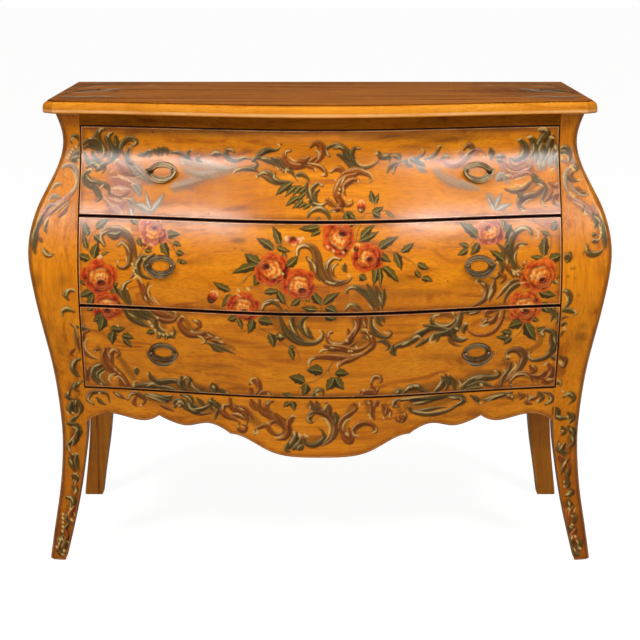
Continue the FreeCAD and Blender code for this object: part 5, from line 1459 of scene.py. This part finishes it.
def wood(
    name, tones, turn=origin, painted=False, marks=1.0, shift=origin,
    rough=(0.20, 0.30), specular=0.36, bump=0.10, edges=None, foot=0.0,
):
    made, tree, shader = material(name)
    spot = ownPlace(tree)
    along = newNode(tree, "ShaderNodeMapping", {0: spot, 1: shift, 2: turn}).outputs[0]
    colour, dull, height = grained(tree, along, tones, marks)[:3]
    if edges == "moulding":
        colour = mouldingColour(tree, spot, along, colour)
    if edges == "gap":  # the wood round the paint, and the cut edges beside the gaps, are coloured near black: painted shade in the gaps
        facing = axis(tree, newNode(tree, "ShaderNodeNewGeometry").outputs["Normal"], 1)
        colour = blendColour(tree, between(tree, facing, 0.6, 0.5), colour, gapShade)
    if foot:  # darker and mottled toward the floor
        low = between(tree, axis(tree, spot, 2), 0.34, 0.04, 0.0, foot)
        lowDarkening = times(tree, low, between(tree, noise(tree, spot, 22, 4), 0.30, 0.62, 0.55, 1.0))
        colour = blendColour(tree, lowDarkening, colour, tones["glaze"])
    if painted:
        colour, cover = paintedColour(tree, spot, colour, tones["glaze"])
        height = plus(tree, height, times(tree, cover, 0.5))
    shader.inputs["Specular IOR Level"].default_value = specular
    finish(tree, shader, colour, between(tree, dull, 0, 1, *rough), (bump, 0.001, height))
    return made


def toneSet(dark, body, light, glaze=(0.150, 0.028, 0.001)):
    return {"dark": (*dark, 1), "body": (*body, 1), "light": (*light, 1), "glaze": (*glaze, 1)}


honey = toneSet((0.27, 0.058, 0.0015), (0.63, 0.190, 0.0035), (0.83, 0.310, 0.009))
softTones = toneSet((0.32, 0.165, 0.060), (0.53, 0.33, 0.155), (0.65, 0.44, 0.23))
topTones = toneSet((0.095, 0.020, 0.001), (0.39, 0.110, 0.004), (0.62, 0.215, 0.009), (0.10, 0.02, 0.002))
rearTones = toneSet((0.17, 0.042, 0.003), (0.44, 0.140, 0.010), (0.58, 0.215, 0.020))
# the frieze under the overhang of the top is a darker copy of the honey: painted shade
friezeShadeTones = toneSet((0.065, 0.014, 0.001), (0.225, 0.062, 0.002), (0.36, 0.115, 0.004))
# the rails seen through the gaps are near black: painted shade
railShadeTones = toneSet((0.016, 0.003, 0.002), (0.030, 0.005, 0.003), (0.045, 0.008, 0.004))
upright = (0, math.radians(90), 0)
deep = (0, 0, math.radians(90))
waxed = {"rough": (0.30, 0.40), "specular": 0.26}
leg = {"turn": upright, "shift": (0.3, 0, 0), "foot": 0.85, **waxed}
topLook = {"marks": 1.0, "shift": (0.2, 0.1, 0), "rough": (0.34, 0.46), "specular": 0.02, "edges": "moulding"}
inner = {"marks": 0.25, "rough": (0.55, 0.75), "specular": 0.3, "bump": 0.2}
paintedAcross = wood("paintedHoneyAcross", honey, painted=True)
paintedUpright = wood("paintedHoneyUpright", honey, painted=True, **leg)
paintedSide = wood("paintedSide", honey, upright, painted=True, marks=0.7, **waxed)
paintedTop = wood("paintedTop", topTones, painted=True, **topLook)
honeyAcross = wood("honeyAcross", honey, marks=0.7, shift=(0, 0, 0.4))
honeyUpright = wood("honeyUpright", honey, upright, marks=0.7, **waxed)
legWood = wood("legWood", honey, marks=0.7, **leg)
honeyTop = wood("honeyTop", topTones, **topLook)
honeyRear = wood("honeyRear", rearTones, upright, marks=0.8)
shadedFrieze = wood("shadedFrieze", friezeShadeTones, marks=0.8, rough=(0.35, 0.5), specular=0.05)
shadedRail = wood("shadedRail", railShadeTones, marks=0.3, rough=(0.5, 0.7), specular=0.1)
drawerWood = wood(
    "drawerWood", softTones, marks=0.4, shift=(0, 0, 0.4), rough=(0.55, 0.75), specular=0.2, edges="gap"
)
innerAcross = wood("innerAcross", softTones, **inner)
innerDeep = wood("innerDeep", softTones, deep, **inner)


def ringShare(tree, spot, centre, hole, rim):  # 0 at the hole of an oval ring, 1 at its outer edge
    place = newNode(tree, "ShaderNodeSeparateXYZ", {0: spot})
    aside = maths(tree, "SUBTRACT", maths(tree, "ABSOLUTE", place.outputs[0]), centre[0])
    lift = maths(tree, "SUBTRACT", place.outputs[2], centre[1])
    sizes = []
    for wide, tall in (hole, rim):
        parts = {0: maths(tree, "DIVIDE", aside, wide), 1: maths(tree, "DIVIDE", lift, tall)}
        reach = newNode(tree, "ShaderNodeCombineXYZ", parts).outputs[0]
        sizes.append(newNode(tree, "ShaderNodeVectorMath", {0: reach}, operation="LENGTH").outputs["Value"])
    past = maths(tree, "SUBTRACT", sizes[0], 1.0)
    return maths(tree, "DIVIDE", past, maths(tree, "SUBTRACT", sizes[0], sizes[1]))


def metal(name, body, dull, roughness, patches, bump, ring=None, lines=(), shine=1.0):
    made, tree, shader = material(name)
    spot = ownPlace(tree)
    patina = noise(tree, spot, patches, 5, 0.6, 0.4)
    colour = blendColour(tree, between(tree, patina, 0.38, 0.60), dull, body)
    pits = noise(tree, spot, 900, 3, 0.6)
    colour = blendColour(tree, between(tree, pits, 0.62, 0.74, 0, 0.5), colour, dull)
    if ring:
        share = ringShare(tree, spot, *ring)
        for middle, half in lines:  # darker along each groove
            away = maths(tree, "ABSOLUTE", maths(tree, "SUBTRACT", share, middle))
            grooveDark = between(tree, away, half, half * 0.45, 0, 0.92)
            colour = blendColour(tree, grooveDark, colour, (0.022, 0.012, 0.006, 1))
    shader.inputs["Metallic"].default_value = shine
    smooth, rough = roughness
    sheen = between(tree, patina, 0.35, 0.65, rough, smooth)
    finish(tree, shader, colour, sheen, (bump, 0.0006, plus(tree, patina, pits)))
    return made


brass = {"body": (0.46, 0.325, 0.170), "dull": (0.235, 0.150, 0.070), "patches": 38, "bump": 0.08, "shine": 0.86}
pullLightAndShade = {"upper": 0.56, "middle": 1.15, "lower": 1.15}  # the pulls of each drawer, against that colour: painted shade on the upper drawer's, painted light on the lower two
pulls = {  # half sizes of the hole and the rim of each oval, then the grooves as their share and half width
    "plate": ((0.018, 0.010), (0.0275, 0.0195), ((0.0, 0.10), (0.50, 0.09), (1.0, 0.08)), (0.34, 0.48)),
    "bail": ((0.0262, 0.017), (0.0305, 0.023), ((0.0, 0.18), (1.0, 0.12)), (0.32, 0.46)),
}


def pullMetal(name, kind, level):
    low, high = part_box(f"pull_plates_{level}")
    rim = pulls["plate"][1]
    middle = ((high.x - low.x) / 2 - rim[0], (low.z + high.z) / 2)
    lean = (high.z - low.z) / (2 * rim[1])
    hole, edge, grooves, roughness = pulls[kind]
    ring = (middle, (hole[0], hole[1] * lean), (edge[0], edge[1] * lean))
    # the drawer's painted light or shade on its brass
    body, dull = ((*(min(v * pullLightAndShade[level], 1.0) for v in brass[tone]), 1) for tone in ("body", "dull"))
    return metal(name, body, dull, roughness, brass["patches"], brass["bump"], ring, grooves, brass["shine"])


oldBrass = metal("oldBrass", (*brass["body"], 1), (*brass["dull"], 1), (0.26, 0.40), brass["patches"], brass["bump"])
pullBrass = {}
for drawer in pullLightAndShade:
    pullBrass[f"pull_plates_{drawer}"] = pullMetal(f"plateBrass.{drawer}", "plate", drawer)
    for hand in ("left", "right"):
        pullBrass[f"bail_{drawer}_{hand}"] = pullMetal(f"bailBrass.{drawer}.{hand}", "bail", drawer)
screwSteel = metal("screwSteel", (0.50, 0.49, 0.47, 1), (0.22, 0.20, 0.18, 1), (0.28, 0.45), 220, 0.1)

finishes = {  # by how the name of the CAD node starts
    "front_post": legWood, "drawer_front": drawerWood, "front_apron": honeyAcross, "frieze_rail": shadedFrieze,
    "top_board": honeyTop, "rear_post": honeyRear, "divider_rail": shadedRail, "bottom_rail": shadedRail,
    "side_panel": honeyUpright, "pull_": oldBrass, "top_screws": screwSteel, "drawer_side": innerDeep,
    "runners": innerDeep, "guides": innerDeep, "kickers": innerDeep,
}
for nodeName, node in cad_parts.items():
    chosen = innerAcross
    for start, surface in finishes.items():
        if nodeName.startswith(start):
            chosen = surface
    node.data.materials.clear()
    node.data.materials.append(pullBrass.get(nodeName, chosen))
print("stage: materials made")

for part in ("upper", "middle", "lower"):
    drawerFilm(f"drawerPaint.{part}", f"drawer_front_{part}", f"drawer_{part}", paintedAcross)
apronFilm("apronPaint", "front_apron", paintedAcross)
for side in ("left", "right"):
    postFilm(f"postPaint.{side}", f"front_post_{side}", paintedUpright)
near, far = fields["topInner"], fields["topOuter"]
for side, ends in (("left", (-far, -near)), ("right", (near, far))):
    broadFilm(f"topPaint.{side}", "top_board", ends, fields["topDepth"], topSheet, paintedTop, (0, 0, -1))
for side, way in (("left", 1), ("right", -1)):
    ends = (fields["sideDepth"], fields["sideHeight"])
    broadFilm(f"sidePaint.{side}", f"side_panel_{side}", *ends, sideSheet, paintedSide, (way, 0, 0))
print("stage: films laid")

# ---- camera, floor and light

camera = {"place": (0.0, -3.452, 1.163), "pitch": 11.85, "lens": 101.25, "sensor": 36}
cameraData = bpy.data.cameras.new("viewCamera")
cameraData.lens = camera["lens"]
cameraData.sensor_width = camera["sensor"]
cameraObject = bpy.data.objects.new("viewCamera", cameraData)
cameraObject.location = camera["place"]
cameraObject.rotation_euler = (math.radians(90 - camera["pitch"]), 0, 0)
scene.collection.objects.link(cameraObject)
scene.camera = cameraObject

studio = {
    "whiteness": 0.93, "floorColour": (0.24, 0.24, 0.235, 1), "floorGloss": 0.10, "floorReach": 30,
    "ambient": 0.20, "ambientColour": (1, 0.985, 0.96, 1), "white": (1, 1, 1, 1), "backdropGloss": 0.07,
}


def seenDirect(tree, glossShare):  # rays that should meet the white background
    ray = newNode(tree, "ShaderNodeLightPath")
    gloss = maths(tree, "MAXIMUM", ray.outputs["Is Glossy Ray"], ray.outputs["Is Transmission Ray"])
    return maths(tree, "MAXIMUM", ray.outputs["Is Camera Ray"], times(tree, gloss, glossShare))


floorMesh = bmesh.new()
bmesh.ops.create_grid(floorMesh, x_segments=1, y_segments=1, size=studio["floorReach"])
floorData = bpy.data.meshes.new("floor")
floorMesh.to_mesh(floorData)
floorMesh.free()
floor = bpy.data.objects.new("floor", floorData)
scene.collection.objects.link(floor)
paper = bpy.data.materials.new("paper")
paper.use_nodes = True
tree = paper.node_tree
tree.nodes.clear()
flat = newNode(tree, "ShaderNodeBsdfDiffuse", {0: studio["floorColour"]})
bright = times(tree, seenDirect(tree, studio["floorGloss"]), studio["whiteness"])
glow = newNode(tree, "ShaderNodeEmission", {0: studio["white"], 1: bright})
both = newNode(tree, "ShaderNodeAddShader", {0: flat.outputs[0], 1: glow.outputs[0]})
tree.links.new(both.outputs[0], newNode(tree, "ShaderNodeOutputMaterial").inputs[0])
floorData.materials.append(paper)

world = bpy.data.worlds.new("studio")
scene.world = world
world.use_nodes = True
tree = world.node_tree
tree.nodes.clear()
soft = newNode(tree, "ShaderNodeBackground", {0: studio["ambientColour"], 1: studio["ambient"]})
white = newNode(tree, "ShaderNodeBackground", {0: studio["white"], 1: 1.0})
way = newNode(tree, "ShaderNodeSeparateXYZ", {0: newNode(tree, "ShaderNodeTexCoord").outputs["Generated"]})
low = between(tree, way.outputs[2], 0.14, 0.05, 0.0, studio["backdropGloss"])
backdrop = times(tree, between(tree, way.outputs[1], -0.1, 0.3), low)
shared = {0: seenDirect(tree, backdrop), 1: soft.outputs[0], 2: white.outputs[0]}
mixed = newNode(tree, "ShaderNodeMixShader", shared)
tree.links.new(mixed.outputs[0], newNode(tree, "ShaderNodeOutputWorld").inputs[0])


def softbox(name, place, aim, size, power, mirrored=True):
    data = bpy.data.lights.new(name, "AREA")
    data.shape = "RECTANGLE"
    data.size, data.size_y = size
    data.energy = power
    lamp = bpy.data.objects.new(name, data)
    lamp.location = place
    lamp.rotation_euler = (Vector(aim) - Vector(place)).to_track_quat("-Z", "Y").to_euler()
    lamp.visible_glossy = mirrored  # the fill lights leave no haze on the varnish
    scene.collection.objects.link(lamp)


for name, across in (("leftBox", -1.62), ("rightBox", 1.62)):
    softbox(name, (across, -2.25, 2.42), (0, 0, 0.55), (0.62, 0.5), 32)
softbox("lowFill", (0, -2.6, 0.30), (0, 0, 0.44), (1.9, 0.40), 26, False)
softbox("overhead", (0, -1.0, 3.1), (0, -0.1, 0.5), (2.2, 1.0), 36, False)
print("stage: studio lit")
